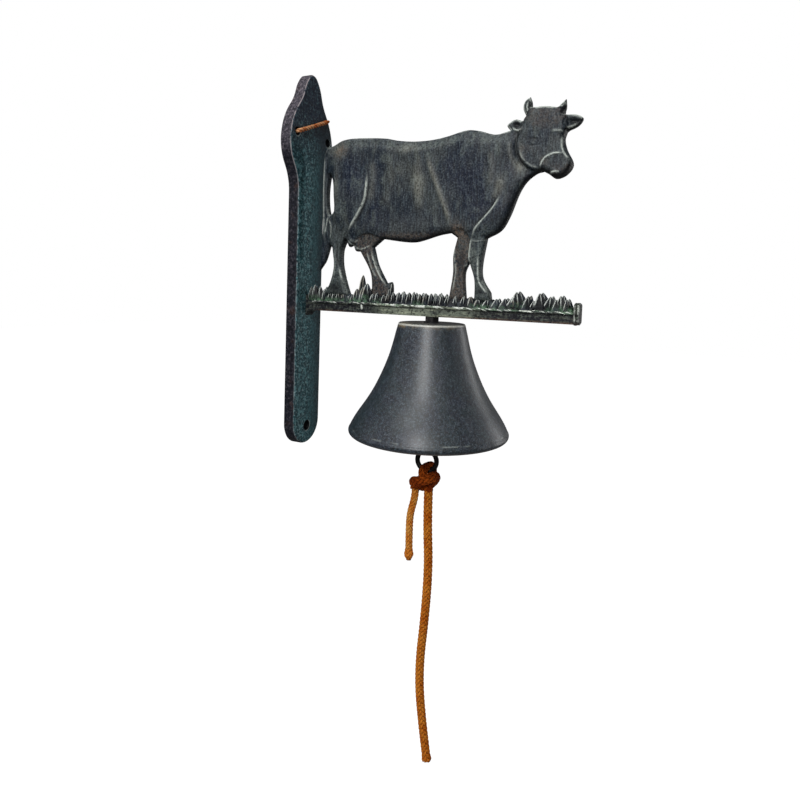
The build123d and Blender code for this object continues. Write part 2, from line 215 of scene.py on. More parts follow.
def travelling_frames(points, cyclic=False):
    """Two normals along a line, turned as little as possible."""
    tangents = unit(neighbour_gap(points) if cyclic else np.gradient(points, axis=0))
    start = np.cross(tangents[0], (0.0, 1.0, 0.0))
    if np.linalg.norm(start) < 0.2:
        start = np.cross(tangents[0], (1.0, 0.0, 0.0))
    normals = [unit(start)]
    for t in tangents[1:]:
        normals.append(unit(normals[-1] - np.dot(normals[-1], t) * t))
    normals = np.array(normals)
    if cyclic:  # spread the twist that is left over along the loop
        t0, n0 = tangents[0], normals[0]
        last = normals[-1] - np.dot(normals[-1], t0) * t0
        twist = math.atan2(np.dot(np.cross(n0, last), t0), np.dot(n0, last))
        angle = -twist * np.linspace(0, 1, len(points), endpoint=False)
        side = np.cross(tangents, normals)
        normals = turned(normals, side, angle)
    return normals, np.cross(tangents, normals)


def lengths_along(points):
    steps = np.linalg.norm(np.diff(points, axis=0), axis=1)
    return np.concatenate([[0.0], np.cumsum(steps)])


def circle(sides):
    """Cosine and sine round a circle, shaped to sit beside rings of vertices."""
    spin = (np.arange(sides) / sides * 2 * math.pi)[None, :, None]
    return np.cos(spin), np.sin(spin)


def swept(centre, across, up, half_width, half_thick, sides):
    """Rings of vertices along a line, each an ellipse spanned by two directions."""
    cosine, sine = circle(sides)
    rings = centre[:, None, :] + across[:, None, :] * half_width * cosine + up[:, None, :] * half_thick * sine
    return rings.reshape(-1, 3)


def yarn_values(rings, sides, *channels):
    """What a fibre material reads for each vertex: along, around and how much painted shade."""
    values = [np.broadcast_to(channel, (rings, sides)) for channel in channels]
    return np.stack(values, axis=-1).reshape(-1, 3)


def turned(normal, binormal, angle):
    """The direction at an angle from normal towards binormal, for each point of a line."""
    return normal * np.cos(angle)[:, None] + binormal * np.sin(angle)[:, None]


# -------------------------------- cord routes

def nurbs_line(route, resolution, cyclic=False):
    """A smooth NURBS curve with the route's points as its control points, as an evaluated line in mm."""
    curve = bpy.data.curves.new("route", "CURVE")
    curve.dimensions = "3D"
    curve.resolution_u = resolution
    spline = curve.splines.new("NURBS")
    spline.points.add(len(route) - 1)
    for point, (x, y, z) in zip(spline.points, route):
        point.co = (x * MM, y * MM, z * MM, 1.0)
    spline.order_u = 3
    spline.use_cyclic_u = cyclic
    spline.use_endpoint_u = not cyclic
    holder = linked("route", curve)
    bpy.context.view_layer.update()
    line = bpy.data.meshes.new_from_object(holder.evaluated_get(bpy.context.evaluated_depsgraph_get()))
    points = np.array([v.co for v in line.vertices], float) / MM
    bpy.data.objects.remove(holder)
    bpy.data.curves.remove(curve)
    bpy.data.meshes.remove(line)
    return points


# -------------------------------- materials

def colour(red, green, blue):
    """Linear colour from display values of 0 to 255."""
    def linear(c):
        c /= 255.0
        return c / 12.92 if c <= 0.04045 else ((c + 0.055) / 1.055) ** 2.4
    return linear(red), linear(green), linear(blue), 1.0


class Finish:
    """A node material built step by step. Texture space is in millimetres of the row frame."""

    def __init__(self, name):
        self.material = bpy.data.materials.new(name)
        self.material.use_nodes = True
        self.tree = self.material.node_tree
        self.tree.nodes.clear()
        self.shader = self.tree.nodes.new("ShaderNodeBsdfPrincipled")
        self.wire("ShaderNodeOutputMaterial", {0: self.shader.outputs[0]})
        scale = self.tree.nodes.new("ShaderNodeVectorMath")
        scale.operation = "SCALE"
        coords = self.tree.nodes.new("ShaderNodeTexCoord")
        self.fill(scale, {0: coords.outputs["Object"], "Scale": 1.0 / MM})
        self.mm = scale.outputs[0]
        self.x, self.y, self.z = self.wire("ShaderNodeSeparateXYZ", {0: self.mm})
        self.height = self.body = None

    def fill(self, node, inputs):
        """Links or sets a node's inputs, and gives its outputs."""
        for key, value in inputs.items():
            if isinstance(value, bpy.types.NodeSocket):
                self.tree.links.new(value, node.inputs[key])
            else:
                node.inputs[key].default_value = value
        return node.outputs

    def wire(self, kind, inputs):
        return self.fill(self.tree.nodes.new(kind), inputs)

    def math(self, operation, a, b=0.0):
        node = self.tree.nodes.new("ShaderNodeMath")
        node.operation = operation
        return self.fill(node, {0: a, 1: b})[0]

    def add(self, a, b):
        return self.math("ADD", a, b)

    def times(self, first, *others):
        for other in others:
            first = self.math("MULTIPLY", first, other)
        return first

    def wavy(self, value, noise, reach):
        """A value shifted by up to reach times a noise."""
        return self.add(value, self.times(noise, reach))

    def ramp(self, value, low, high):
        """0 below low, 1 above high, smooth between. low may be the larger one."""
        node = self.tree.nodes.new("ShaderNodeMapRange")
        node.interpolation_type = "SMOOTHSTEP"
        return self.fill(node, {"Value": value, "From Min": min(low, high), "From Max": max(low, high),
                                "To Min": float(low > high), "To Max": float(low <= high)})[0]

    def band(self, value, centre, half_width):
        """1 at centre, falling to 0 at half_width either side."""
        return self.ramp(self.math("ABSOLUTE", self.add(value, -centre)), half_width, 0.0)

    def distance(self, a, b):
        return self.math("SQRT", self.add(self.times(a, a), self.times(b, b)))

    def noise(self, size, detail=3.0, roughness=0.55, stretch=(1.0, 1.0, 1.0), offset=0.0):
        """Noise whose blotches are about size millimetres, longer along an axis by its stretch."""
        mapping = self.tree.nodes.new("ShaderNodeVectorMath")
        mapping.operation = "MULTIPLY_ADD"
        self.fill(mapping, {0: self.mm, 1: [1.0 / s for s in stretch], 2: [offset] * 3})
        return self.wire("ShaderNodeTexNoise", {"Vector": mapping.outputs[0], "Scale": 1.0 / size,
                                                "Detail": detail, "Roughness": roughness})["Fac"]

    def patches(self, size, low, high, detail=3.0, **kind):
        """A mask of noise patches between two levels of the noise."""
        return self.ramp(self.noise(size, detail, **kind), low, high)

    def mix(self, factor, a, b):
        """A mix of two colours, each a socket or three display values."""
        a, b = [colour(*c) if isinstance(c, tuple) else c for c in (a, b)]
        node = self.tree.nodes.new("ShaderNodeMix")
        node.data_type = "RGBA"
        return self.fill(node, {"Factor": factor, "A": a, "B": b})["Result"]

    def over(self, tint, *masks):
        """Lays a colour over the body by the product of the masks."""
        self.body = self.mix(self.times(*masks), self.body, tint)

    def speckle(self, size, light, light_amount, dark_amount, offset=0.0):
        """Light and dark grains over the body, about size millimetres apart."""
        grain = self.noise(size, 3.0, 0.65, offset=offset)
        self.over(DARK_GRAIN_AND_SHADE, self.ramp(grain, 0.50, 0.38), dark_amount)
        self.over(light, self.ramp(grain, 0.52, 0.64), light_amount)

    def painted(self, name):
        """The three channels of a colour attribute."""
        node = self.tree.nodes.new("ShaderNodeAttribute")
        node.attribute_name = name
        return self.wire("ShaderNodeSeparateColor", {0: node.outputs["Color"]})

    def bump(self, height, depth_mm, strength=1.0):
        """Adds a bump layer of that depth over the ones before it."""
        inputs = {"Strength": strength, "Distance": depth_mm * MM, "Height": height}
        if self.height is not None:
            inputs["Normal"] = self.height
        self.height = self.wire("ShaderNodeBump", inputs)[0]

    def cast_skin(self, depth):
        """The sand-cast skin: grains, pits and a slow unevenness."""
        self.bump(self.noise(6.0, 2.0), 0.5, 0.7)
        self.bump(self.noise(1.9, 3.0, 0.6), 2.2 * depth, 1.0)
        self.bump(self.noise(0.8, 3.0, 0.6), depth, 0.8)

    def done(self, roughness, specular, fine=None, grain=0.0, metallic=0.0, coat=0.0):
        """The finished material. Its roughness varies with fine by grain."""
        if grain:
            roughness = self.wavy(roughness, fine, grain)
        self.fill(self.shader, {
            "Base Color": self.body, "Roughness": roughness, "Metallic": metallic,
            "Specular IOR Level": specular, "Coat Weight": coat, "Coat Roughness": COAT_ROUGHNESS,
            "Normal": self.height})
        return self.material


COAT_ROUGHNESS = 0.36
NAVY = (34, 44, 62)
SLATE = (48, 54, 64)
TEAL = (46, 88, 96)
PURPLE_GREY = (66, 62, 72)
RUST = (92, 60, 38)
BRONZE = (112, 92, 62)
VERDIGRIS = (104, 138, 108)
# Pale colour for painted highlights: on one side of the plate holes' rims and in a band round the bell's lip.
PALE_HIGHLIGHT = (184, 192, 186)
# Near-black for dark grains and streaks, and for painted shade in holes, grooves, a pit, on the cow and under
# the arm's bead.
DARK_GRAIN_AND_SHADE = (9, 11, 15)
# Drilled holes in the plate: Y, Z and radius.
PLATE_HOLES = ((0.0, -86.0, 3.5), (-18.5, 117.6, 2.8), (18.5, 117.6, 2.8))


def plate_finish():
    f = Finish("plate_cast_iron")
    f.cast_skin(0.30)
    geometry = f.tree.nodes.new("ShaderNodeNewGeometry")
    facing = f.wire("ShaderNodeSeparateXYZ", {0: geometry.outputs["Normal"]})[0]
    blotch = f.noise(16.0, 3.0, 0.6)
    low = f.ramp(f.wavy(f.z, blotch, 30.0), 150.0, 100.0)
    # Painted light: pale speckle grows towards -Y on the lower face, where it is lit.
    lit_teal = f.times(low, f.ramp(f.wavy(f.y, blotch, 8.0), 9.0, 2.0))
    f.body = f.mix(low, NAVY, TEAL)
    f.speckle(1.6, (144, 176, 180), f.wavy(0.26, lit_teal, 0.75), 0.50)
    f.speckle(3.4, (104, 150, 156), f.wavy(0.12, lit_teal, 0.65), 0.30, 5.0)
    # Painted shade: the face is darker towards +Y.
    f.over((26, 36, 46), f.ramp(f.wavy(f.y, blotch, 4.0), 7.0, 15.0), 0.6)
    face = f.body
    dim = f.ramp(f.z, 118.0, 96.0)
    f.body = f.mix(dim, PURPLE_GREY, (24, 26, 36))
    f.speckle(1.6, (136, 128, 134), f.wavy(0.60, dim, -0.42), 0.8, 2.0)
    f.over(RUST, f.patches(9.0, 0.56, 0.75, 2.0, offset=7.0), 0.25)
    f.body = f.mix(f.ramp(facing, 0.80, 0.50), face, f.body)
    worn = f.patches(3.0, 0.36, 0.50, 4.0, offset=3.0)
    f.over((176, 166, 168), f.band(facing, 0.74, 0.20), worn, f.wavy(0.35, f.ramp(f.z, 60.0, 110.0), 0.6))
    root = f.times(f.band(f.z, 2.0, 16.0), f.patches(2.2, 0.50, 0.60, 4.0, offset=5.0))
    f.over((104, 124, 128), root, f.ramp(facing, 0.5, 0.9), 0.55)
    for y, z, radius in PLATE_HOLES:  # painted shade inside, and a painted highlight on one side of its edge
        away = f.distance(f.add(f.y, -y), f.add(f.z, -z))
        edge = f.band(f.wavy(away, f.noise(2.0, 3.0, offset=11.0), 0.8), radius + 0.95, 0.55)
        across = f.add(f.wavy(f.y, f.z, -0.6), 0.6 * z - y)
        # Painted highlight on one side of the hole's rim.
        f.over(PALE_HIGHLIGHT, edge, f.ramp(across, -1.0, 3.0), 0.7)
        # Painted shade inside the hole.
        f.over(DARK_GRAIN_AND_SHADE, f.ramp(away, radius + 0.3, radius + 0.1))
    return f.done(0.36, 0.2, f.noise(2.4, 3.0, offset=1.0), 0.28)


def arm_finish():
    f = Finish("arm_cast_iron")
    f.cast_skin(0.16)
    blotch = f.noise(9.0, 4.0, 0.6, stretch=(2.5, 1.0, 1.0))
    fine = f.noise(1.6, 4.0, 0.7)
    streak = f.patches(1.4, 0.50, 0.60, roughness=0.6, stretch=(8.0, 1.0, 1.0), offset=3.0)
    middle = f.times(f.ramp(f.x, 52.0, 84.0), f.ramp(f.x, 146.0, 112.0))
    f.body = f.mix(f.times(middle, f.ramp(blotch, 0.25, 0.50)), (26, 28, 34), (112, 120, 106))
    f.over((168, 176, 152), streak, f.wavy(0.14, middle, 0.6))
    f.speckle(1.6, (120, 130, 118), 0.30, 0.75)
    green = f.times(f.ramp(f.wavy(f.z, fine, 2.6), 3.8, 5.0), f.ramp(blotch, 0.40, 0.60))
    f.over(VERDIGRIS, green, f.ramp(f.x, 60.0, 90.0), 0.6)
    # Painted shade: a dark band just under the bead.
    f.over(DARK_GRAIN_AND_SHADE, f.band(f.z, 1.9, 0.9), 0.65)
    low = f.times(f.ramp(f.wavy(f.z, fine, 1.2), -0.6, -2.2), f.ramp(fine, 0.38, 0.58))
    near_wall = f.times(f.ramp(f.x, 60.0, 30.0), f.ramp(f.x, 14.0, 26.0))
    f.over(RUST, low, f.add(f.ramp(f.x, 90.0, 130.0), near_wall), 0.7)
    f.over((30, 26, 24), f.ramp(f.x, ARM_END - 4.4, ARM_END - 3.2), 0.8)
    return f.done(0.34, 0.25, fine, 0.3)


def bead_finish():
    f = Finish("bead_worn_patina")
    f.cast_skin(0.12)
    fine = f.noise(2.2, 4.0, 0.7)
    f.body = f.mix(f.ramp(fine, 0.42, 0.60), (58, 68, 64), (124, 146, 122))
    f.over((226, 232, 222), f.patches(2.6, 0.42, 0.52, 4.0, offset=2.0), 0.9)
    f.over(SLATE, f.patches(14.0, 0.52, 0.64, 2.0, offset=9.0), 0.5)
    f.over((36, 44, 50), f.ramp(f.x, 66.0, 34.0), 0.45)
    f.over(DARK_GRAIN_AND_SHADE, f.ramp(f.x, 190.8, 191.6), f.wavy(0.25, f.ramp(fine, 0.6, 0.4), 0.6))
    return f.done(0.30, 0.5, fine, 0.25)


def cow_finish():
    f = Finish("cow_cast_iron")
    brown, green, wear_and_highlight = f.painted("patina_and_highlight")
    navy, pale_and_highlight, dark = f.painted("tone_and_painted_light")
    f.bump(f.noise(2.2, 3.0, 0.6), 0.24, 0.8)
    f.bump(f.noise(0.9, 3.0, 0.6), 0.16, 0.9)
    streak = f.noise(0.9, 3.0, 0.6, stretch=(1.0, 1.0, 7.0))
    f.bump(streak, 0.14, 0.8)
    fine = f.noise(1.5, 4.0, 0.7, offset=2.0)
    slow = f.patches(9.0, 0.38, 0.62, roughness=0.6, stretch=(1.0, 1.0, 2.6), offset=4.0)
    f.body = f.mix(slow, (14, 28, 42), (54, 60, 62))
    f.over((88, 94, 88), f.patches(5.0, 0.54, 0.70, roughness=0.6, stretch=(1.0, 1.0, 3.0), offset=9.0), 0.5)
    f.over((12, 24, 46), navy, 0.92)
    # Pale tone, partly painted highlight.
    f.over((136, 136, 124), pale_and_highlight, 0.70)
    f.over((112, 126, 130), f.ramp(streak, 0.50, 0.64), 0.20)
    f.over(DARK_GRAIN_AND_SHADE, f.ramp(streak, 0.50, 0.38), 0.42)
    f.over((108, 92, 78), brown, f.ramp(fine, 0.36, 0.58))
    f.over((132, 142, 134), green, f.ramp(fine, 0.36, 0.56))
    f.speckle(1.1, (120, 126, 128), 0.24, 0.60, 8.0)
    # Painted shade from the dark channel.
    f.over(DARK_GRAIN_AND_SHADE, dark, 0.90)
    # Worn bright metal and painted highlights, from the creases and rims.
    f.over((206, 214, 206), wear_and_highlight, f.ramp(fine, 0.34, 0.50))
    return f.done(0.34, 0.24, fine, 0.26)


def grass_finish():
    f = Finish("grass_cast_iron")
    green, wear_and_highlight, _ = f.painted("patina_and_highlight")
    f.bump(f.noise(1.4, 4.0, 0.65), 0.20, 0.9)
    fine = f.noise(1.6, 4.0, 0.7)
    f.body = f.mix(f.patches(5.0, 0.40, 0.72, 2.0), (12, 14, 18), (44, 50, 58))
    f.over(VERDIGRIS, green, f.ramp(fine, 0.40, 0.60), f.patches(16.0, 0.42, 0.58, 2.0, offset=1.0), 0.65)
    # Painted highlights on the tufts' ridges and tips.
    f.over((206, 212, 206), f.ramp(wear_and_highlight, 0.35, 0.72), f.ramp(fine, 0.26, 0.44))
    f.over(BRONZE, f.ramp(wear_and_highlight, 0.2, 0.7), f.patches(12.0, 0.56, 0.68, 1.0, offset=6.0), 0.5)
    return f.done(0.34, 0.25, fine, 0.28)


def bell_finish():
    f = Finish("bell_cast_iron")
    fine = f.noise(1.2, 4.0, 0.7)
    f.bump(f.noise(7.0, 2.0), 0.5, 0.6)
    f.bump(fine, 0.60, 1.0)
    f.bump(f.noise(3.4, 2.0, 0.5, offset=12.0), 0.40, 0.8)
    f.bump(f.noise(0.8, 3.0, 0.6), 0.20, 0.9)
    top, lip = BELL_HIGH[2], BELL_LOW[2]
    f.body = f.mix(f.patches(11.0, 0.38, 0.62), (4, 28, 38), (18, 28, 46))
    f.speckle(0.9, (116, 136, 146), 0.34, 0.90, 5.0)
    f.speckle(2.2, (84, 94, 104), 0.25, 0.45, 15.0)
    crown_worn = f.times(f.ramp(f.z, top - 4.0, top - 1.4), f.patches(5.0, 0.40, 0.58, 4.0, offset=2.0))
    f.over((128, 112, 86), crown_worn, f.wavy(0.35, f.ramp(f.x, BELL_X + 8.0, BELL_X - 12.0), 0.60))
    f.over((62, 64, 66), f.ramp(f.z, top - 0.4, top - 0.2), 0.5)
    # Painted highlight: a bright line along the crown's rounded edge.
    f.over((214, 214, 204), f.band(f.z, top - 0.9, 0.95), f.ramp(fine, 0.30, 0.46), 0.9)
    f.over(RUST, f.ramp(f.wavy(f.z, fine, 2.4), lip + 3.0, lip + 1.0), 0.7)
    # Painted shade: a dark spot standing in for the shade inside a small pit.
    pit = f.distance(f.add(f.x, -(BELL_X + 3.4)), f.add(f.z, -(top - 11.6)))
    f.over(DARK_GRAIN_AND_SHADE, f.ramp(pit, 1.0, 0.6))
    # Painted highlight: a broken pale ring above the lip.
    f.over(PALE_HIGHLIGHT, f.band(f.z, lip + 5.4, 0.7), f.patches(9.0, 0.48, 0.62, offset=8.0), 0.35)
    return f.done(0.32, 0.6, fine, 0.24, coat=0.75)


def steel_finish(name, base, light, roughness):
    f = Finish(name)
    fine = f.noise(1.1, 4.0, 0.7)
    f.bump(fine, 0.10, 0.8)
    f.bump(f.noise(3.0, 2.0), 0.12, 0.5)
    f.body = f.mix(f.patches(2.6, 0.40, 0.72, 4.0, offset=3.0), base, light)
    f.over(RUST, f.ramp(fine, 0.60, 0.75), 0.35)
    return f.done(roughness, 0.3, fine, 0.2, metallic=0.35)


def fibre_finish(name, dark, mid, light):
    """Rope yarn: along, around and painted shade come from the strand's own painted values."""
    f = Finish(name)
    along, around, shade = f.painted("yarn")
    twist = f.math("SINE", f.add(f.times(along, 5.2), f.times(around, 12.566)))
    fuzz = f.noise(0.5, 4.0, 0.7)
    f.bump(twist, 0.10, 0.5)
    f.bump(fuzz, 0.14, 0.8)
    f.body = f.mix(f.patches(6.0, 0.35, 0.65), mid, light)
    # Painted shade in the troughs of the twist.
    f.over(dark, f.ramp(twist, 0.2, -1.0), 0.35)
    f.over(dark, f.ramp(fuzz, 0.48, 0.30), 0.5)
    # Painted shade from the strands' own values.
    f.over(dark, shade)
    return f.done(0.9, 0.08)


def floor_finish():
    """A pale floor that stays white to the camera, far from the lamps too."""
    f = Finish("studio_floor")
    f.bump(f.noise(3.0, 2.0), 0.05, 0.2)
    rays = f.tree.nodes.new("ShaderNodeLightPath")
    white = (1.0, 1.0, 1.0, 1.0)
    f.fill(f.shader, {"Emission Color": white, "Emission Strength": rays.outputs["Is Camera Ray"]})
    f.body = f.mix(f.noise(60.0), (196, 196, 196), (204, 204, 204))
    return f.done(0.9, 0.1)


BEAD_FINISH = bead_finish()
GRASS_FINISH = grass_finish()
STEEL_FINISH = steel_finish("black_steel", (20, 20, 22), (52, 50, 50), 0.38)
BALL_FINISH = steel_finish("clapper_cast_steel", (30, 30, 32), (64, 58, 52), 0.42)
ROPE_FINISH = fibre_finish("rope_fibre", (84, 26, 2), (206, 108, 26), (236, 148, 52))
# The tail is the same rope, painted lighter as light.
LIT_TAIL_FINISH = fibre_finish("lit_tail_fibre", (104, 40, 6), (232, 138, 48), (250, 178, 84))
# The knot is the same rope, painted darker as shade.
SHADED_KNOT_FINISH = fibre_finish("shaded_knot_fibre", (46, 10, 2), (142, 56, 14), (196, 92, 26))
TIE_FINISH = fibre_finish("tie_fibre", (92, 36, 12), (206, 110, 56), (244, 186, 136))


# -------------------------------- CAD nodes that stay

def dress(node, material):
    """Gives a CAD node its finish in every material slot."""
    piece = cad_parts[node]
    for material_slot in piece.material_slots:
        material_slot.material = material
    if not piece.material_slots:
        piece.data.materials.append(material)


dress("wall_plate", plate_finish())
dress("arm_bar", arm_finish())
dress("bell", bell_finish())
for steel_node in ("crown_washer", "neck_nut", "eyebolt", "hanger_link", "clapper_rod", "pull_ring"):
    dress(steel_node, STEEL_FINISH)
dress("clapper_ball", BALL_FINISH)


# -------------------------------- the cow

# Spacing of the casting's vertices: inside, on its edge, and how deep the two rows beside its edge lie.
COW_STEP = 0.64
EDGE_STEP = 0.55
SKIRT_DEPTHS = (0.10, 0.34)
# Spacing of the points that distances to the edge are measured from.
FINE_STEP = 0.15
# Side outline as (X, Z) stretches, each from the last point of the one before: straight with one point,
# smooth with more.
COW_OUTLINE = [
    [(33.5, 113.3), (43.5, 113.9), (65.5, 112.2), (75.5, 110), (86.5, 108.7), (98.5, 108.7), (109, 110.1),
     (122, 112.8), (130, 111.8), (140.5, 108.8), (149.3, 110.4)],
    [(147.3, 113.4), (152, 116.6), (156.6, 115.4)], [(158.6, 117.6)],
    [(156.6, 122.4), (157.5, 126.7), (160.6, 128.8)], [(161.7, 125.8), (162, 122.4)],
    [(170, 122.4), (176.6, 121.2)], [(178.4, 123), (181.3, 125.6)], [(181.7, 121), (180.6, 116.8)],
    [(187.6, 116.2), (191.3, 113.8), (188.9, 110), (182.6, 107.2)],
    [(181.6, 103), (182.9, 97.5), (186.9, 88.5), (183.5, 83), (177.6, 80.8), (173.2, 83.6), (170, 85.4)],
    [(165.5, 83.6), (160.5, 79.5), (156.5, 73), (151, 59), (146.2, 51.2), (137.7, 46.5)],
    [(135.2, 30), (135.9, 22), (141.2, 13.4)], [(142, 8)], [(131, 8)], [(130.5, 21), (127, 31.8)],
    [(124.5, 25), (125.7, 8)], [(113.8, 8)], [(116.1, 25), (115.9, 36), (118.3, 47)], [(114, 50)],
    [(106.5, 48.7), (91.5, 44.5), (83.8, 44.3), (66.4, 46.4)], [(59.5, 40.9)], [(63, 29.5), (70, 17.3)],
    [(73.6, 18), (74.7, 8)], [(58.8, 8)], [(57.4, 23.5), (49.1, 38.1)],
    [(45.6, 38.5), (43.5, 42), (40.5, 41.2), (38, 45.9)], [(35, 38), (36.1, 24), (41.8, 8)], [(20.6, 8)],
    [(25.9, 16.5), (28.7, 28), (27.2, 40.6)], [(25.2, 42.4)], [(21.4, 31.6), (16.6, 24.6)],
    [(18.3, 52), (17.9, 70), (17.9, 92), (20, 107.4), (27, 110.6)],
]
TAIL_GAP = [(24, 90), (25.8, 87), (27.2, 76), (27.5, 66), (24.4, 63.4), (22.5, 76)]

# Regions of the relief, each a loop of (X, Z).
TORSO = [
    (26, 104), (40, 109.5), (60, 108), (86, 105), (108, 106), (124, 109), (140, 105), (152, 104), (153, 90),
    (157, 82), (153, 70), (147, 58), (138, 50), (120, 50), (100, 49.5), (84, 47.5), (64, 49), (44, 50),
    (30, 62), (27, 84),
]
THIGH = [
    (54.5, 100), (54.4, 88), (54, 79), (52.4, 71.6), (48, 62.6), (43.4, 55.2), (39.6, 49.6), (36, 40),
    (36.2, 26), (45, 4), (17, 4), (27.6, 26), (26.4, 44), (29, 62), (28.4, 88), (36, 106),
]
FAR_HIND = [
    (66, 45.5), (59, 40), (66, 22), (78, 4), (54, 4), (50, 36), (44, 43), (54, 50),
]
FAR_FRONT = [
    (127, 45.6), (126.6, 34), (124.2, 28), (127.5, 4), (112, 4), (114.5, 40), (117, 51), (122, 52),
]
NEAR_FRONT = [
    (146.5, 73), (141.4, 64.6), (135.8, 58.2), (131, 53), (128, 46.5), (127, 38), (127.4, 30), (130.6, 20),
    (128, 4), (146, 4), (138, 22), (139, 40), (149, 50), (159, 72), (154, 82),
]
FACE = [
    (159, 118), (156.2, 112), (154.9, 106), (154.4, 100.6), (155.6, 95.4), (158.2, 91.2), (161.8, 87.4),
    (165.4, 85.8), (170.4, 84.4), (174, 80), (182, 78), (190, 86), (186, 97), (184.5, 104), (183, 110),
    (182, 117), (177.5, 121), (170, 123.4), (163, 123),
]
MUZZLE = [
    (168.8, 85.6), (170, 90.3), (172.6, 93), (176.6, 94.5), (181.6, 94.4), (184.2, 93), (190, 88), (186, 79),
    (174, 78),
]
LEFT_EAR = [(149, 111.6), (150, 115.6), (155.6, 116.6), (158.6, 113.6), (156.6, 110.4), (152.4, 109.4)]
RIGHT_EAR = [(181, 110.4), (182.6, 116.6), (188, 117.6), (192.8, 114), (189.4, 109), (184, 107.6)]
TAIL = [
    (21.8, 108), (21.6, 92), (21.2, 76), (22, 62), (22.8, 50), (24.6, 41), (14, 22), (12, 60), (14, 108),
]
HEAD_AND_HORNS = [
    (146, 108.4), (146, 132), (196, 132), (196, 104), (184, 106), (184, 117), (158, 118.4), (155.5, 110),
]

# Each region and how softly it ends.
REGIONS = (
    (TORSO, 9.0), (THIGH, 1.5), (FAR_HIND, 1.3), (FAR_FRONT, 1.2), (NEAR_FRONT, 1.4), (FACE, 1.3),
    (MUZZLE, 1.0), (LEFT_EAR, 0.8), (RIGHT_EAR, 0.8), (TAIL, 1.4), (HEAD_AND_HORNS, 0.6),
)

# Raised creases, bright partly from wear and partly as painted highlight: points, height, half width,
# brightness.
CREASES = [
    ([(54.4, 90), (54.2, 80), (53, 72), (48.2, 62.8), (43.4, 55.4), (40.4, 50.6)], 0.5, 0.62, 1),
    ([(146, 72), (141, 64.2), (135.6, 58), (131.2, 53), (128.4, 47)], 0.46, 0.62, 0.9),
    ([(128.4, 47), (127.3, 38), (127.2, 31.4), (123.4, 29)], 0.45, 0.55, 1),
    ([(128.1, 45.2), (133, 44.6), (138.6, 45.6)], 0.25, 0.5, 0.3),
    ([(39.6, 46.4), (42.4, 43.4), (46.6, 40.6), (50.8, 39.8), (58.4, 42.4)], 0.3, 0.5, 0.6),
    ([(151, 111.4), (153.6, 109.8), (157.4, 109.6)], 0.5, 0.5, 0.9),
    ([(182.4, 109), (185, 109.4), (188.4, 111)], 0.35, 0.5, 0.7),
    ([(156.4, 98.4), (157.8, 94), (160.8, 90.2), (165, 87.6), (168.8, 86.6)], 0.12, 0.5, 0.45),
    ([(168.8, 86.4), (170.2, 90.4), (172.6, 92.9), (176.6, 94.4), (182.2, 94.2)], 0.5, 0.55, 1),
    ([(180.6, 104.5), (180.7, 99.5), (181.8, 95), (185.9, 89.6)], 0.35, 0.55, 0.8),
    ([(34.2, 27.5), (36, 21), (40.9, 12)], 0.55, 0.5, 0.9),
    ([(30.6, 40), (31, 28), (29.6, 18)], 0.3, 0.55, 0.3),
    ([(58, 38.6), (61.4, 29), (66.2, 20.5), (70.4, 15.6)], 0.55, 0.48, 1),
    ([(54.6, 38.4), (58.4, 28), (63.6, 19.4)], 0.45, 0.48, 0.6),
    ([(133.2, 36), (133.4, 27), (134.6, 19.8), (141, 11.6)], 0.5, 0.48, 1),
    ([(136.4, 34), (135.8, 25), (137.6, 18)], 0.35, 0.48, 0.5),
    ([(117.4, 43), (117.4, 34), (118.6, 26), (116.6, 12)], 0.4, 0.5, 0.55),
    ([(163.4, 121.2), (170.2, 121.2), (176.6, 120)], 0.3, 0.6, 0.9),
    ([(174.6, 107), (178.2, 107.2), (181.6, 106.2)], 0.45, 0.8, 0.45),
    ([(174.2, 83), (177.4, 84), (180.6, 83.3)], 0.55, 0.6, 1),
    ([(41.5, 46.4), (44.4, 44.8), (48.6, 45.6)], 0.5, 0.9, 0.25),
    ([(19.6, 106), (19.4, 92), (19.3, 76), (20, 60), (20.6, 46)], 0.55, 0.75, 0.55),
    ([(23.8, 62), (22.6, 56), (21.2, 50)], 0.45, 0.5, 0.7),
    ([(24.6, 60.5), (26.6, 54), (26, 46)], 0.35, 0.5, 0.5),
    ([(160.2, 119), (159.2, 123), (160.2, 126.6)], 0.25, 0.45, 0.9),
    ([(178.6, 121.2), (180.2, 122.4), (181.3, 123.8)], 0.25, 0.45, 0.9),
]
# Sunk lines: points, depth and half width.
GROOVES = [
    ([(156.6, 108), (154.2, 104), (153.7, 99.6), (154.9, 94.6), (157.6, 90.4), (161.2, 86.8)], 0.8, 0.75),
    ([(55.6, 88), (55.4, 79.6), (54.4, 71.8), (49.8, 62.2), (45, 54.6)], 0.3, 0.8),
    ([(144.6, 71.4), (139.4, 63.6), (134, 57.6), (129.6, 52.6)], 0.3, 0.8),
    ([(176, 82.4), (180, 82)], 0.45, 0.5),
    ([(185.6, 86.4), (186.8, 87.6)], 0.5, 0.7),
    ([(161.4, 100.2), (163.8, 99.6), (166, 100.4)], 0.3, 0.55),
    ([(161, 103), (164, 103.8), (167, 102.8)], 0.16, 0.6),
    ([(22.2, 104), (21.9, 92)], 0.5, 0.6),
    ([(43.6, 44.6), (46, 42.4), (47, 40.4)], 0.4, 0.5),
    ([(33, 45), (32.4, 36), (33.6, 28)], 0.22, 0.6),
]
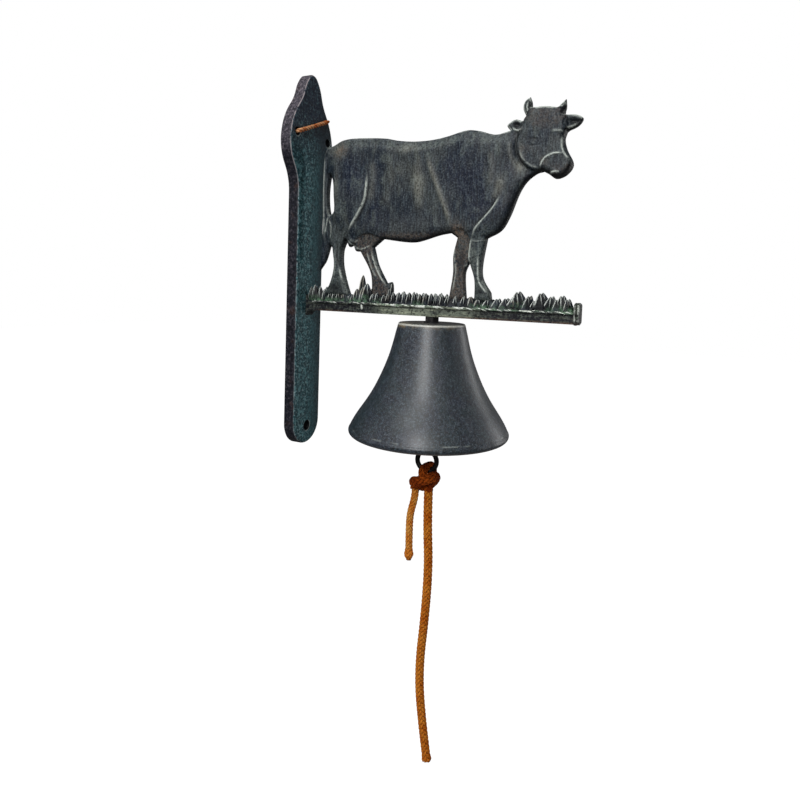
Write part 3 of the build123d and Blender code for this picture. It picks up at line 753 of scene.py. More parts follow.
# Broad folds of the body: points, lift, half width, and the painted highlight along each fold.
FOLDS = [
    ([(97, 98), (101.4, 87), (106.6, 75), (112, 62), (114.4, 55)], 0.75, 1.5, 0.85),
    ([(138.2, 100), (139.4, 88), (139, 76)], 0.35, 1.9, 0.35),
    ([(91, 101), (90.4, 82), (94, 62)], 0.35, 3, 0.3),
    ([(72, 104), (71, 86), (68, 66)], 0.3, 3.4, 0.12),
    ([(57.4, 98), (58.6, 84), (57, 70)], 0.4, 2.4, 0.4),
    ([(149.6, 104), (151, 95), (155.6, 86.6)], 0.5, 1.8, 0.45),
    ([(146, 82), (144.6, 76), (141, 69)], 0.4, 2.2, 0.45),
    ([(30.6, 98), (30.4, 84), (31.6, 70)], 0.35, 2, 0.1),
]
# Patches of tone, painted highlight and painted shade: X, Z, reach in X, reach in Z, then how blue, how pale
# and how dark.
# Pale paints highlights in places, such as below the cheek; dark mostly paints shade under the jaw, chest and
# belly, in the ear hollows and nostril and between the legs, and gives the horns their dark colour.
TONE_AND_LIGHT_PATCHES = [
    (40.5, 92, 8, 17, 0.9, 0, 0), (124, 84, 12, 18, 1.2, 0, 0), (134, 66, 9, 12, 0.8, 0, 0),
    (112, 92, 3.4, 11, 0.8, 0, 0), (151.5, 98, 3.4, 9, 0.9, 0, 0), (62, 62, 9, 9, 0.7, 0, 0),
    (60, 82, 6, 16, 0.7, 0, 0), (84, 58, 24, 7, 0.7, 0, 0), (148, 82, 5, 10, 0.6, 0, 0),
    (47, 84, 9, 15, 0.7, 0, 0), (145, 68, 6, 8, 0.7, 0, 0), (32, 105.5, 6, 5, 0, 0.5, 0),
    (92.4, 80.8, 4, 10, 0, 0.55, 0), (80, 88, 9, 12, 0, 0.18, 0), (83, 104, 7, 3, 0, 0.6, 0),
    (156.6, 87.6, 2.2, 3.6, 0, 0.8, 0), (145, 78, 3, 6, 0, 0.4, 0), (30.5, 84, 2.4, 14, 0, 0.25, 0),
    (87, 55, 22, 6, 0, 0.16, 0), (163.4, 80.6, 4, 3.4, 0.3, 0, 0.9), (153, 66, 3.6, 9, 0.4, 0, 0.8),
    (148, 55, 5, 4, 0.3, 0, 0.8), (90, 45.6, 30, 1.6, 0, 0, 0.7), (153.6, 108.6, 1.5, 4, 0, 0, 0.8),
    (186, 85.4, 2.2, 3, 0, 0, 0.8), (184.6, 107.6, 2.6, 2, 0, 0, 0.8), (153.3, 113.2, 2.6, 1.5, 0, 0, 1),
    (187, 112.4, 3.6, 1.8, 0, 0, 1), (160.6, 123.5, 2.2, 4.8, 1, 0, 0.8), (180.2, 120.6, 1.6, 4, 1, 0, 0.8),
    (176.6, 88.6, 5, 3.6, 0, 0, 0.3), (32, 13, 6, 4.6, 0, 0, 0.8), (134.6, 14, 5, 3.6, 0, 0, 0.6),
    (122.6, 33, 2.4, 7, 0, 0, 0.6),
]


def soft_region(x, z, loop, soft):
    """1 inside a smooth loop, 0 outside, changing over soft millimetres."""
    return smoothstep(-0.5 * soft, 0.5 * soft, depth_in(x, z, catmull(loop, 0.4, closed=True)))


def line_weight(x, z, points, width):
    """1 on a smooth line, falling off like a bell curve, and thinner towards both ends."""
    line = catmull(points, 0.25)
    away, index = nearest(x, z, line)
    share = index / max(1, len(line) - 1)
    ends = smoothstep(0.0, 0.18, share) * smoothstep(1.0, 0.82, share) * 0.75 + 0.25
    return np.exp(-(away / width) ** 2) * ends


def patch(x, z, centre_x, centre_z, reach_x, reach_z):
    """1 at a centre, falling off like a bell curve over a reach either way."""
    return np.exp(-((x - centre_x) / reach_x) ** 2 - ((z - centre_z) / reach_z) ** 2)


def cow_relief(x, z, away, rim_normal_x, rim_normal_z):
    """Height of the casting above its middle plane, its painted patina with painted highlights, and its tone
    with painted highlights and shade.
    """
    slow = lattice(x / 15.0, z / 17.0, 3)
    mid = lattice(x / 5.5, z / 7.0, 4)
    fine = lattice(x / 1.9, z / 2.3, 5)
    low_leg = smoothstep(62.0, 34.0, z)
    torso, thigh, far_hind, far_front, near_front, face, muzzle, left_ear, right_ear, tail, ears_and_horns = [
        soft_region(x, z, loop, soft) for loop, soft in REGIONS]
    level = 3.0 + 1.6 * torso
    level += 0.55 * patch(x, z, 41.0, 84.0, 13.0, 22.0) + 0.5 * patch(x, z, 134.0, 82.0, 12.0, 22.0)
    level += (0.26 * slow + 0.10 * mid) * torso
    level = lerp(level, 2.5, tail)
    level = lerp(level, 2.4, far_hind)
    level = lerp(level, 2.6, far_front)
    thigh_level = lerp(level + 0.95 * smoothstep(96.0, 74.0, z), 4.1, low_leg)
    level = lerp(level, thigh_level, thigh * (1 - tail))
    front_level = lerp(level + 0.85 * smoothstep(76.0, 62.0, z), 4.2, low_leg)
    level = lerp(level, front_level, near_front)
    level = lerp(level, 5.6 + 0.12 * mid, face)
    level += 0.45 * muzzle
    level = lerp(level, 2.9, np.maximum(left_ear, right_ear) * (1 - 0.6 * face))
    radius = 3.0 + 1.8 * torso * (1 - face)
    back_edge = smoothstep(0.35, 0.85, rim_normal_z) * torso * smoothstep(156.0, 150.0, x)
    hang = lattice(x / 1.9, z / 30.0, 6)
    slope = 1.0 - smoothstep(0.0, 1.0, (away + 0.9 * mid + 2.0 * hang) / 7.6)
    level -= 1.5 * back_edge * slope
    share = np.clip(away / radius, 0.0, 1.0)
    height = level * (1.0 - (1.0 - share) ** 2.3) ** (1.0 / 2.3)
    ear_hollows = patch(x, z, 153.4, 113.2, 2.4, 1.5) + patch(x, z, 186.6, 112.4, 3.4, 1.7)
    keep = smoothstep(0.0, 0.9, away)
    height -= 1.7 * ear_hollows * keep
    wear_and_highlight = np.zeros(len(x))
    for points, lift, width, bright in CREASES:
        weight = line_weight(x, z, points, width) * keep
        height += lift * weight
        wear_and_highlight = np.maximum(wear_and_highlight, bright * weight ** 1.8)
    sunk = np.zeros(len(x))
    for points, drop, width in GROOVES:
        weight = line_weight(x, z, points, width) * keep
        height -= drop * weight
        sunk = np.maximum(sunk, weight)
    height += 0.05 * fine * keep
    # Painted highlight on rims that face up or left, towards the lamps, strongest round the ears and horns.
    rim = np.exp(-((away - 0.6) / 0.42) ** 2)
    faces_up = smoothstep(-0.1, 0.6, rim_normal_z)
    faces_left = smoothstep(0.1, -0.6, rim_normal_x)
    wear_and_highlight = np.maximum(wear_and_highlight, 0.9 * rim * ears_and_horns * np.maximum(faces_up, faces_left))
    wear_and_highlight = np.maximum(wear_and_highlight, 0.35 * rim * faces_up * smoothstep(-0.2, 0.4, mid))
    tone_and_painted_light = np.zeros((len(x), 3))
    for px, pz, reach_x, reach_z, *amounts in TONE_AND_LIGHT_PATCHES:
        amount = patch(x, z, px, pz, reach_x, reach_z) * (1 + 0.5 * mid)
        tone_and_painted_light += amount[:, None] * np.array(amounts)
    for points, lift, width, fold_highlight in FOLDS:
        weight = line_weight(x, z, points, width) * keep
        height += lift * weight
        # Painted highlight along the fold.
        tone_and_painted_light[:, 1] += fold_highlight * weight
    # Painted shade in the grooves.
    tone_and_painted_light[:, 2] += 0.9 * sunk
    # Painted shade along the rims that face down, under the belly.
    under = smoothstep(-0.1, -0.6, rim_normal_z) * smoothstep(36.0, 44.0, z)
    tone_and_painted_light[:, 2] += 0.9 * under * np.exp(-(away / 1.7) ** 2)
    # Painted shade along rims that don't face up.
    tone_and_painted_light[:, 2] += 0.5 * np.exp(-(away / 0.9) ** 2) * (1 - faces_up)
    brown = 0.50 * far_front + 0.45 * far_hind + 0.30 * face * smoothstep(-0.4, 0.6, slow + mid)
    brown += 0.8 * patch(x, z, 33.0, 106.0, 5.0, 4.0) + 0.8 * patch(x, z, 119.0, 52.0, 4.0, 4.0)
    brown += 0.5 * np.exp(-((z - 48.0) / 2.4) ** 2) * smoothstep(60.0, 70.0, x) * smoothstep(118.0, 110.0, x)
    green = 1.0 * back_edge * slope + 0.35 * near_front * low_leg + 0.25 * thigh * low_leg
    green += 0.25 * smoothstep(0.3, 0.9, mid) * torso
    # Brown and green patina, and wear with painted highlight.
    patina_and_highlight = np.stack([brown, green, wear_and_highlight], axis=1)
    return np.maximum(height, 0.02), np.clip(patina_and_highlight, 0, 1), np.clip(tone_and_painted_light, 0, 1)


def within(points, outer, hole):
    """Whether each (X, Z) point is inside the outline and outside its hole."""
    return inside(points[:, 0], points[:, 1], outer) & ~inside(points[:, 0], points[:, 1], hole)


def casting_from_outline(outer, hole):
    """Points and triangles that fill the outline, and which points are on its edge."""
    low, high = outer.min(axis=0), outer.max(axis=0)
    rows = np.arange(low[1], high[1], COW_STEP * 0.866)
    columns = np.arange(low[0], high[0], COW_STEP)
    gx, gz = np.meshgrid(columns, rows)
    gx[1::2] += 0.5 * COW_STEP
    grid = np.stack([gx.ravel(), gz.ravel()], axis=1)
    edge = np.vstack([outer, hole])
    grid = grid[within(grid, outer, hole)]
    parts = [edge, grid[nearest(*grid.T, edge)[0] > EDGE_STEP + 0.01]]
    for loop in (outer, hole):
        along = unit(neighbour_gap(loop))
        normal = np.stack([-along[:, 1], along[:, 0]], axis=1)
        for depth in SKIRT_DEPTHS:
            for side in (1.0, -1.0):
                moved = loop + normal * side * depth
                moved = moved[within(moved, outer, hole)]
                parts.append(moved[nearest(*moved.T, edge)[0] > 0.85 * depth])
    n_out, n_hole = len(outer), len(hole)
    edges = [(i, (i + 1) % n_out) for i in range(n_out)]
    edges += [(n_out + i, n_out + (i + 1) % n_hole) for i in range(n_hole)]
    verts, _, faces, *_ = delaunay_2d_cdt([Vector(p) for p in np.vstack(parts)], edges, [], 0, 1e-5)
    verts = np.array([(v.x, v.y) for v in verts])
    on_edge = nearest(*verts.T, edge)[0] < 1e-4
    faces = np.array([f for f in faces if len(f) == 3])
    unsure = on_edge[faces].all(axis=1)
    keep = np.ones(len(faces), bool)
    keep[unsure] = within(verts[faces].mean(axis=1)[unsure], outer, hole)
    faces = faces[keep]
    used = np.unique(faces)
    number = -np.ones(len(verts), int)
    number[used] = np.arange(len(used))
    return verts[used], number[faces], on_edge[used]


def make_cow():
    def edges(step):
        return closed_outline(COW_OUTLINE, step), catmull(TAIL_GAP, step, closed=True)
    flat, triangles, on_edge = casting_from_outline(*edges(EDGE_STEP))
    edge = np.vstack(edges(FINE_STEP))
    away, index = nearest(*flat.T, edge)
    away[on_edge] = 0.0
    outward = (edge[index] - flat) / np.maximum(away, 1e-3)[:, None]
    height, patina_and_highlight, tone_and_painted_light = cow_relief(*flat.T, away, *outward.T)
    height[on_edge] = 0.0
    front, back = [np.stack([flat[:, 0], side * height, flat[:, 1]], axis=1) for side in (FRONT, BACK)]
    back_number = np.where(on_edge, np.arange(len(flat)), len(flat) + np.cumsum(~on_edge) - 1)
    a, b, c = flat[triangles[:, 0]], flat[triangles[:, 1]], flat[triangles[:, 2]]
    turn = (b[:, 0] - a[:, 0]) * (c[:, 1] - a[:, 1]) - (b[:, 1] - a[:, 1]) * (c[:, 0] - a[:, 0])
    triangles[turn < 0] = triangles[turn < 0][:, ::-1]
    faces = triangles.tolist() + back_number[triangles[:, ::-1]].tolist()
    verts = np.vstack([front, back[~on_edge]])
    cow = place("cow_casting", verts, faces, "bracket", cow_finish())
    paint(cow, "patina_and_highlight", np.vstack([patina_and_highlight, patina_and_highlight[~on_edge]]))
    paint(cow, "tone_and_painted_light", np.vstack([tone_and_painted_light, tone_and_painted_light[~on_edge]]))
    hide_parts("cow")


make_cow()


# -------------------------------- the grass

ROUND_TUFT = ((0.0, 1.0), (0.25, 0.97), (0.50, 0.86), (0.70, 0.68), (0.86, 0.44), (0.95, 0.22))
SHARP_TUFT = ((0.0, 1.0), (0.25, 0.92), (0.50, 0.72), (0.70, 0.50), (0.86, 0.29), (0.95, 0.13))


def tuft(pile, x, y, width, depth, foot, tip, lean, rng, levels=ROUND_TUFT):
    """A rounded fluted tuft: ridges with painted highlights, brighter on the side towards the lamps and
    towards the tip, dark hollows between them and a leaning tip.
    """
    sides = 10
    turn = rng.uniform(-0.3, 0.3)
    ridge = rng.uniform(0.88, 1.12, sides)
    verts, values = [], []
    for level, spread in levels:
        for k in range(sides):
            angle = turn + 2 * math.pi * k / sides
            is_ridge = k % 2 == 0
            reach = spread * (1.0 if is_ridge else 0.72) * ridge[k]
            verts.append((x + 0.5 * width * reach * math.cos(angle) + lean * level ** 1.5,
                          y + 0.5 * depth * reach * math.sin(angle), foot + (tip - foot) * level))
            # Painted highlight on each ridge, stronger on the side towards the lamps and higher up.
            toward_light = 0.85 - 0.40 * math.cos(angle)
            bright = (0.30 + 0.80 * level) * toward_light if is_ridge else 0.0
            values.append((1.0 - smoothstep(0.20, 0.55, level), bright, 0.0))
    # Painted highlight on the tip.
    verts.append((x + lean, y, tip))
    values.append((0.0, 0.9, 0.0))
    faces = ring_faces(len(levels), sides, closed_ends=False)
    top = (len(levels) - 1) * sides
    faces += [(top + k, top + (k + 1) % sides, top + sides) for k in range(sides)]
    faces.append(list(range(sides))[::-1])
    pile.add(verts, faces, values)


# Stretches of the bank: from X, to X, tuft width, distance between tufts, tip height and how much it varies.
GRASS_FIELDS = [
    (9.5, 22.0, 4.6, 4.0, 13.6, 1.8), (22.0, 41.0, 4.6, 4.2, 11.0, 1.0), (41.0, 47.0, 3.6, 3.0, 8.6, 0.8),
    (47.0, 59.5, 6.6, 4.2, 14.4, 1.4), (59.5, 75.0, 4.6, 3.9, 10.6, 1.0), (75.0, 113.0, 4.5, 3.9, 12.0, 0.7),
    (113.0, 128.0, 5.4, 5.0, 10.4, 0.8), (128.0, 143.0, 6.4, 5.0, 10.2, 1.2),
]
# The tall uneven tufts towards the arm's end: X, width, tip height and lean of the tip.
END_TUFTS = [
    (145.0, 6.0, 10.4, 0.6), (150.0, 7.0, 10.8, 0.8), (155.0, 7.0, 12.2, 1.0), (158.6, 8.6, 15.2, -0.8),
    (163.6, 6.6, 12.8, 1.4), (168.0, 4.6, 10.2, 0.4), (172.2, 8.8, 14.8, -0.6), (177.2, 6.4, 13.0, 0.8),
    (181.0, 6.0, 11.4, 0.6), (184.2, 6.6, 13.6, -0.4), (187.4, 4.6, 11.8, -0.2),
]
# Taller ones on their own: X, Y, width, depth, foot, tip and lean.
SINGLE_TUFTS = [
    (51.3, -0.6, 6.0, 3.8, 6.0, 22.6, 0.4), (72.8, -2.0, 4.6, 3.4, 4.0, 17.2, 1.4),
    (55.4, -2.4, 8.0, 3.8, 4.0, 17.0, 0.6),
]
# Rows of tufts across the bank: Y, height of its tips, and its shift along the bank in tufts.
GRASS_ROWS = ((-2.5, 0.96, 0.0), (0.9, 1.0, 0.5), (2.6, 0.94, 0.0))
# The low ground: its section as (Y, Z), and where along X it rises, stays high and sinks, three times.
BANK_PROFILE = [(-4.3, 3.2), (-4.1, 4.2), (-3.4, 5.2), (-1.8, 6.4), (0.0, 7.0), (1.8, 6.4), (3.4, 5.2),
                (4.1, 4.2), (4.3, 3.2)]
HOOF_MOUNDS = (14.0, 19.0, 43.0, 46.0, 56.0, 58.0, 76.0, 79.0, 111.0, 113.0, 143.0, 146.0)
GRASS_FOOT = 3.2
GRASS_BASE = 3.5
TUFT_DEPTH = 3.7


def make_grass():
    rng = np.random.default_rng(21)
    pile = Pile()
    for start, end, width, pitch, tip, vary in GRASS_FIELDS:
        count = max(1, round((end - start) / pitch))
        pitch = (end - start) / count
        for row_y, row_height, row_shift in GRASS_ROWS:
            for i in range(count):
                x = start + (i + 0.25 + row_shift) * pitch + rng.uniform(-0.12, 0.12) * pitch
                top = GRASS_BASE + (tip - GRASS_BASE + rng.uniform(-vary, vary)) * row_height
                tuft(pile, x, row_y + rng.uniform(-0.2, 0.2), width * rng.uniform(0.95, 1.1),
                     TUFT_DEPTH * rng.uniform(0.95, 1.1), GRASS_FOOT, top,
                     0.16 * width * rng.uniform(-1.0, 1.0), rng)
    for x, width, tip, lean in END_TUFTS:
        for row_y, row_height, row_shift in GRASS_ROWS:
            top = GRASS_BASE + (tip - GRASS_BASE) * row_height
            tuft(pile, x + 2.0 * row_shift, row_y, 1.25 * width, 4.0, GRASS_FOOT, top, lean, rng, SHARP_TUFT)
    for single in SINGLE_TUFTS:
        tuft(pile, *single, rng)
    verts, faces, values = pile.arrays()
    grass = place("grass_tufts", verts, faces, "bracket", GRASS_FINISH, smooth=False)
    paint(grass, "patina_and_highlight", values)
    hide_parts("grass")


def make_grass_bank():
    """The low lumpy ground that the tufts grow out of."""
    stations = np.arange(GRASS_LOW[0], GRASS_HIGH[0], 0.8)
    bank = np.array([(x, y, z) for x in stations for y, z in BANK_PROFILE])
    lift = lattice(bank[:, 0] / 2.2, bank[:, 1] / 1.3, 8)
    under_feet = np.interp(bank[:, 0], HOOF_MOUNDS, (0.0, 1.0, 1.0, 0.0) * 3)
    bank[:, 2] += 0.5 * lift * (bank[:, 2] > 4.0) + 2.4 * under_feet * smoothstep(4.0, 6.4, bank[:, 2])
    faces = ring_faces(len(stations), len(BANK_PROFILE))
    piece = place("grass_bank", bank, faces, "bracket", GRASS_FINISH)
    green = 1.0 - smoothstep(5.0, 7.5, bank[:, 2])
    paint(piece, "patina_and_highlight", np.stack([green, 0 * green, 0 * green], axis=1))


make_grass()
make_grass_bank()


# -------------------------------- the arm's worn beads

BEAD_Y = 4.45
BEAD_Z = 3.1
BEAD_SIDES = 10


def bead(name, line, radius, lumps, seed, cyclic=False):
    """A tube along a line whose radius swells and shrinks by lumps."""
    line = np.array(line, float)
    normal, binormal = travelling_frames(line, cyclic)
    cosine, sine = circle(BEAD_SIDES)
    along = lengths_along(line)[:, None, None]
    swell = radius * (1.0 + lumps * lattice(along / 2.1 + 1.2 * cosine, 1.2 * sine + 7.0, seed))
    verts = swept(line, normal, binormal, swell, swell, BEAD_SIDES)
    faces = ring_faces(len(line), BEAD_SIDES, cyclic=cyclic)
    place(name, verts, faces, "bracket", BEAD_FINISH)


def cap_loop(x):
    """The outline of the arm's end, as a closed line at that X."""
    corners = [(-4.5, 7.0), (-2.6, 8.6), (2.6, 8.6), (4.5, 7.0),
               (4.5, -0.8), (2.6, -2.6), (-2.6, -2.6), (-4.5, -0.8)]
    return [(x, y, z) for y, z in catmull(corners, 0.5, closed=True)]


for edge_name, side, seed in (("arm_bead_near", FRONT, 31), ("arm_bead_far", BACK, 32)):
    bead(edge_name, [(x, side * BEAD_Y, BEAD_Z) for x in np.arange(14.0, 191.0, 0.5)], 0.80, 0.42, seed)
bead("arm_end_bead_inner", cap_loop(192.3), 0.62, 0.25, 33, cyclic=True)
bead("arm_end_bead_outer", cap_loop(194.2), 0.66, 0.25, 34, cyclic=True)
drip_line = [(53.2, -4.5, 2.6), (53.3, -4.55, 1.4), (53.5, -4.55, 0.2), (53.6, -4.4, -0.6)]
bead("arm_drip", drip_line, 0.75, 0.3, 35)


# -------------------------------- the thin tied cord

TIE_HOLE_Y = -18.5
TIE_HOLE_Z = 117.6
TIE_SLOPE = math.atan2(15.9, 38.1)
TIE_STRANDS = 3
TIE_LEAD = 9.0
TIE_STRAND_OFFSET = 0.68
TIE_HALF_THICK = 0.76
TIE_HALF_WIDTH = 0.80
# The loop through the hole and round the far edge: distance along the cord's slope, and X.
TIE_LOOP = [
    (3.6, 9.70), (0.9, 9.75), (0.0, 8.6), (0.0, 6.0), (0.0, 3.6), (0.7, 2.3), (4.0, 2.3), (20.0, 2.3),
    (36.5, 2.3), (40.2, 2.3), (41.6, 3.2), (41.8, 5.2), (41.6, 7.2), (40.4, 8.4), (37.6, 8.9), (33.0, 9.5),
    (20.0, 9.70),
]


def make_tie_cord():
    cosine, sine = math.cos(TIE_SLOPE), math.sin(TIE_SLOPE)
    route = [(x, TIE_HOLE_Y + s * cosine, TIE_HOLE_Z + s * sine) for s, x in TIE_LOOP]
    line = nurbs_line(route, 24, cyclic=True)
    normal, binormal = travelling_frames(line, cyclic=True)
    along = lengths_along(np.vstack([line, line[:1]]))
    turns = round(along[-1] / TIE_LEAD)
    slant = (line[:, 1] - TIE_HOLE_Y) / cosine
    squash = 1.0 - 0.45 * smoothstep(36.0, 40.5, slant)  # pressed thin where it bends round the edge
    sides = 8
    # Painted shade on the side of each strand that faces the cord's middle.
    shade = np.clip(0.75 - 0.9 * circle(sides)[0][0, :, 0], 0, 0.8)
    pile = Pile()
    for k in range(TIE_STRANDS):
        angle = 2 * math.pi * (turns * along[:-1] / along[-1] + k / TIE_STRANDS)
        out = turned(normal, binormal, angle)
        centre = line + TIE_STRAND_OFFSET * out * squash[:, None]
        side = unit(np.cross(neighbour_gap(centre), out))
        verts = swept(centre, out, side, TIE_HALF_THICK * squash[:, None, None], TIE_HALF_WIDTH, sides)
        values = yarn_values(len(line), sides, along[:-1, None], np.arange(sides) / sides, shade)
        pile.add(verts, ring_faces(len(line), sides, cyclic=True), values)
    verts, faces, values = pile.arrays()
    cord = place("tie_cord_strands", verts, faces, "bracket", TIE_FINISH)
    paint(cord, "yarn", values)
    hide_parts("tie_cord")


make_tie_cord()


# -------------------------------- the pull rope

ROPE_D = 6.0
TAIL_D = 5.0
BRAID_LEAD = 24.0
BRAID_PAIRS = 8
CORE_SIDES = 10
ROPE_ROUTE = [
    (104.5, 0.0, -116.6), (104.5, 0.0, -138.0), (106.4, 0.3, -166.0), (105.4, -0.3, -199.0),
    (102.0, 0.2, -236.0), (104.4, 0.0, -266.0), (110.2, -0.4, -297.2),
]
TAIL_ROUTE = [
    (95.2, 0.0, -116.6), (95.2, 0.0, -122.6), (91.9, -0.4, -134.5), (92.0, -0.5, -150.0),
    (92.2, -0.3, -165.2),
]
KNOT_ROUTE = [
    (104.5, 0, -117), (104.5, 0.6, -113), (104.6, 3.4, -108), (105, 5.6, -103.8), (104.4, 4.2, -101),
    (103.4, 0, -100.5), (102.4, -4.2, -101), (102.2, -5.8, -104.2), (102.4, -3.6, -107.6), (99.6, 0, -111),
    (95.8, 4.4, -115.6), (99.8, 7, -116.8), (105, 6.4, -112), (108, 3.4, -107.8), (108.4, -3, -106.2),
    (105.2, -6.8, -107.2), (101.4, -7.8, -108.8), (97.8, -6.4, -110.4), (94.8, -2, -111.6),
    (94.4, 1.8, -113.8), (95.2, 0.6, -115.4), (95.2, 0, -117),
]


def braid(line, diameter, lead, swell):
    """A round braid of twice BRAID_PAIRS strands along a line, each over two and under two."""
    along = lengths_along(line)
    normal, binormal = travelling_frames(line)
    grow = swell(along, along[-1])
    thick, width, weave = 0.19 * diameter, 0.30 * diameter, 0.075 * diameter
    middle = 0.5 * diameter - weave - 0.5 * thick
    sides = 7
    # Painted shade at each strand's two edges, where it meets its neighbours.
    strand_edge = np.abs(circle(sides)[0][0, :, 0]) ** 4 * 0.45
    pile = Pile()
    for turn in (1.0, -1.0):
        for k in range(BRAID_PAIRS):
            angle = 2 * math.pi * (k / BRAID_PAIRS + turn * along / lead)
            phase = math.pi * (k + turn * BRAID_PAIRS * along / lead) + 0.25 * math.pi
            over = turn * np.clip(1.5 * np.cos(phase), -1.0, 1.0)
            out = turned(normal, binormal, angle)
            centre = line + out * ((middle + weave * over) * grow)[:, None]
            run = unit(np.gradient(centre, axis=0))
            across = unit(np.cross(run, out))
            half_width = 0.5 * width * grow[:, None, None]
            verts = swept(centre, across, np.cross(across, run), half_width, 0.5 * thick, sides)
            # Painted shade where a strand passes under the others.
            low = np.clip(0.5 - 0.5 * over, 0, 1)[:, None] * 0.75
            values = yarn_values(len(line), sides, (along[:, None] + 3.7 * k) % 50.0,
                                 np.abs(np.arange(sides) / sides * 2 - 1), np.clip(low + strand_edge, 0, 1))
            pile.add(verts, ring_faces(len(line), sides), values)
    core = swept(line, normal, binormal, 0.30 * diameter, 0.30 * diameter, CORE_SIDES)
    # The core is painted dark, as shade seen between the strands.
    pile.add(core, ring_faces(len(line), CORE_SIDES), np.tile((0.0, 0.0, 0.9), (len(core), 1)))
    return pile


def frayed_end(pile, line, radius, length, count, seed, dark):
    """Short cut fibres that stand out of a rope's end."""
    rng = np.random.default_rng(seed)
    end = line[-1]
    tangent = unit(line[-1] - line[-4])
    side = unit(np.cross(tangent, (0.0, 1.0, 0.0)))
    other = np.cross(tangent, side)
    for _ in range(count):
        angle = rng.uniform(0, 2 * math.pi)
        away = radius * math.sqrt(rng.uniform(0, 1))
        out = side * math.cos(angle) + other * math.sin(angle)
        root = end - tangent * 1.2 + out * away
        reach = length * rng.uniform(0.3, 1.0) * (1.15 - 0.5 * away / radius)
        tip = end + tangent * reach + out * away * 1.12
        across = unit(np.cross(tip - root, out))
        thick = rng.uniform(0.16, 0.30)
        corners = [root + across * thick, root - across * 0.5 * thick + out * thick,
                   root - across * 0.5 * thick - out * thick]
        middle = [0.45 * c + 0.55 * (c - root + tip) for c in corners]
        verts = corners + middle + [tip]
        faces = [(0, 1, 4, 3), (1, 2, 5, 4), (2, 0, 3, 5), (3, 4, 6), (4, 5, 6), (5, 3, 6), (2, 1, 0)]
        shade = rng.uniform(0.1, 0.5) + dark
        pile.add(verts, faces, np.tile((rng.uniform(0, 50), 0.5, shade), (7, 1)))


def rope_flare(along, total):
    """The braid opens a little near its cut end."""
    return 1.0 + 0.16 * smoothstep(total - 3.5, total, along)


def crimped(along, total):
    """The braid bulges near its end and closes to a blunt point."""
    bulge = 0.34 * np.exp(-((along - total + 4.0) / 2.4) ** 2)
    return 1.0 + bulge - 0.45 * smoothstep(total - 2.6, total, along)


def rope_piece(name, pile, node_names, material):
    verts, faces, values = pile.arrays()
    piece = place(name, verts, faces, "pull_rope", material)
    paint(piece, "yarn", values)
    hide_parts(*node_names)
    return piece


def knot_swell(along, total):
    """The rope is pressed thin over the ring and fat in the wrap."""
    share = along / total
    return 1.0 - 0.04 * np.exp(-((share - 0.24) / 0.05) ** 2) + 0.24 * smoothstep(0.42, 0.55, share)


knot_line = nurbs_line(KNOT_ROUTE, 16)
knot = rope_piece("rope_bight_and_knot", braid(knot_line, ROPE_D, BRAID_LEAD, knot_swell),
                  ["rope_loop", "rope_knot"], SHADED_KNOT_FINISH)

rope_line = nurbs_line(ROPE_ROUTE, 56)
rope_pile = braid(rope_line, ROPE_D, BRAID_LEAD, rope_flare)
frayed_end(rope_pile, rope_line, radius=2.9, length=1.0, count=260, seed=5, dark=0.1)
rope = rope_piece("pull_rope_braid", rope_pile, ["rope_cord"], ROPE_FINISH)

tail_line = nurbs_line(TAIL_ROUTE, 44)
tail_pile = braid(tail_line, TAIL_D, BRAID_LEAD * 0.9, crimped)
frayed_end(tail_pile, tail_line, radius=1.5, length=0.9, count=160, seed=9, dark=0.35)
tail = rope_piece("pull_rope_tail", tail_pile, ["rope_tail"], LIT_TAIL_FINISH)


# -------------------------------- light, floor and camera

def look_from(azimuth, elevation, distance, target):
    """A point at that distance from target. Azimuth 0 is in front, on the -Y side."""
    a, e = math.radians(azimuth), math.radians(elevation)
    back = Vector((math.sin(a) * math.cos(e), -math.cos(a) * math.cos(e), math.sin(e)))
    return Vector(target) + back * distance


def softbox(name, azimuth, elevation, distance, width, height, power):
    """A rectangular lamp, aimed at the object: angles in degrees, power in watts."""
    light = bpy.data.lights.new(name, "AREA")
    light.shape = "RECTANGLE"
    light.size = width
    light.size_y = height
    light.energy = power
    lamp = linked(name, light)
    target = Vector((0.1, 0.0, 0.0))
    lamp.location = look_from(azimuth, elevation, distance, target)
    lamp.rotation_euler = (target - lamp.location).to_track_quat("-Z", "Y").to_euler()


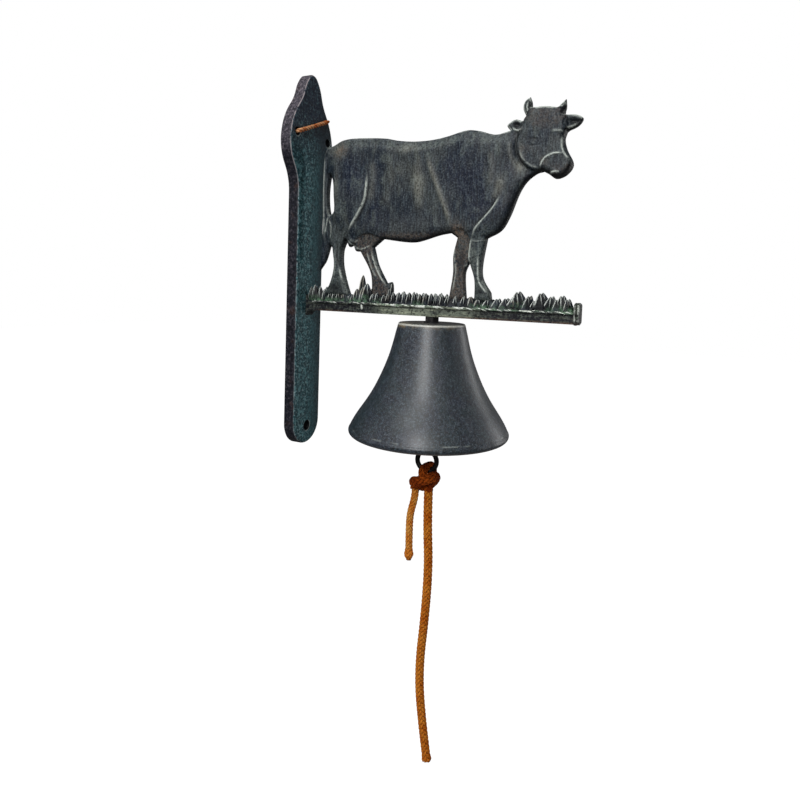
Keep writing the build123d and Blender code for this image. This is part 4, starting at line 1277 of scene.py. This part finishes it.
softbox("key_softbox", 8.0, 26.0, 1.15, 0.34, 0.7, 9.8)
softbox("top_softbox", -30.0, 62.0, 1.1, 0.5, 0.5, 4.5)
softbox("left_softbox", -70.0, 6.0, 1.2, 0.3, 0.8, 0.7)
softbox("right_softbox", 140.0, 2.0, 1.2, 0.2, 0.8, 2.6)

ROOM_LIGHT = 0.08


def studio_world():
    """A white room to look at, and a dim even light on the object."""
    world = bpy.data.worlds.new("studio_world")
    world.use_nodes = True
    tree = world.node_tree
    background = tree.nodes["Background"]
    background.inputs["Color"].default_value = (1.0, 1.0, 1.0, 1.0)
    rays = tree.nodes.new("ShaderNodeLightPath")
    strength = tree.nodes.new("ShaderNodeMapRange")
    strength.inputs["To Min"].default_value = ROOM_LIGHT
    strength.inputs["To Max"].default_value = 1.0
    tree.links.new(rays.outputs["Is Camera Ray"], strength.inputs["Value"])
    tree.links.new(strength.outputs[0], background.inputs["Strength"])
    return world


bpy.context.scene.world = studio_world()
bpy.context.scene.view_settings.view_transform = "Standard"

FLOOR_Z = -1.1
FLOOR_HALF = 12.0
floor_mesh = bpy.data.meshes.new("floor")
floor_corners = [(x * FLOOR_HALF, y * FLOOR_HALF, FLOOR_Z) for x, y in ((-1, -1), (1, -1), (1, 1), (-1, 1))]
floor_mesh.from_pydata(floor_corners, [], [(0, 1, 2, 3)])
floor_mesh.materials.append(floor_finish())
linked("floor", floor_mesh)

CAMERA_AZIMUTH = 25.74
CAMERA_ELEVATION = 3.30
CAMERA_ROLL = 1.86
camera_data = bpy.data.cameras.new("camera")
camera_data.sensor_width = 36.0
camera_data.lens = 26.84
camera_data.shift_y = -0.1
camera_data.clip_start = 0.01
camera = linked("camera", camera_data)
camera.location = (0.2503, -0.3534, 0.0161)
back_direction = look_from(CAMERA_AZIMUTH, CAMERA_ELEVATION, 1.0, (0.0, 0.0, 0.0))
aim = (-back_direction).to_track_quat("-Z", "Y").to_matrix().to_4x4()
camera.rotation_euler = (aim @ Matrix.Rotation(math.radians(CAMERA_ROLL), 4, "Z")).to_euler()
bpy.context.scene.camera = camera
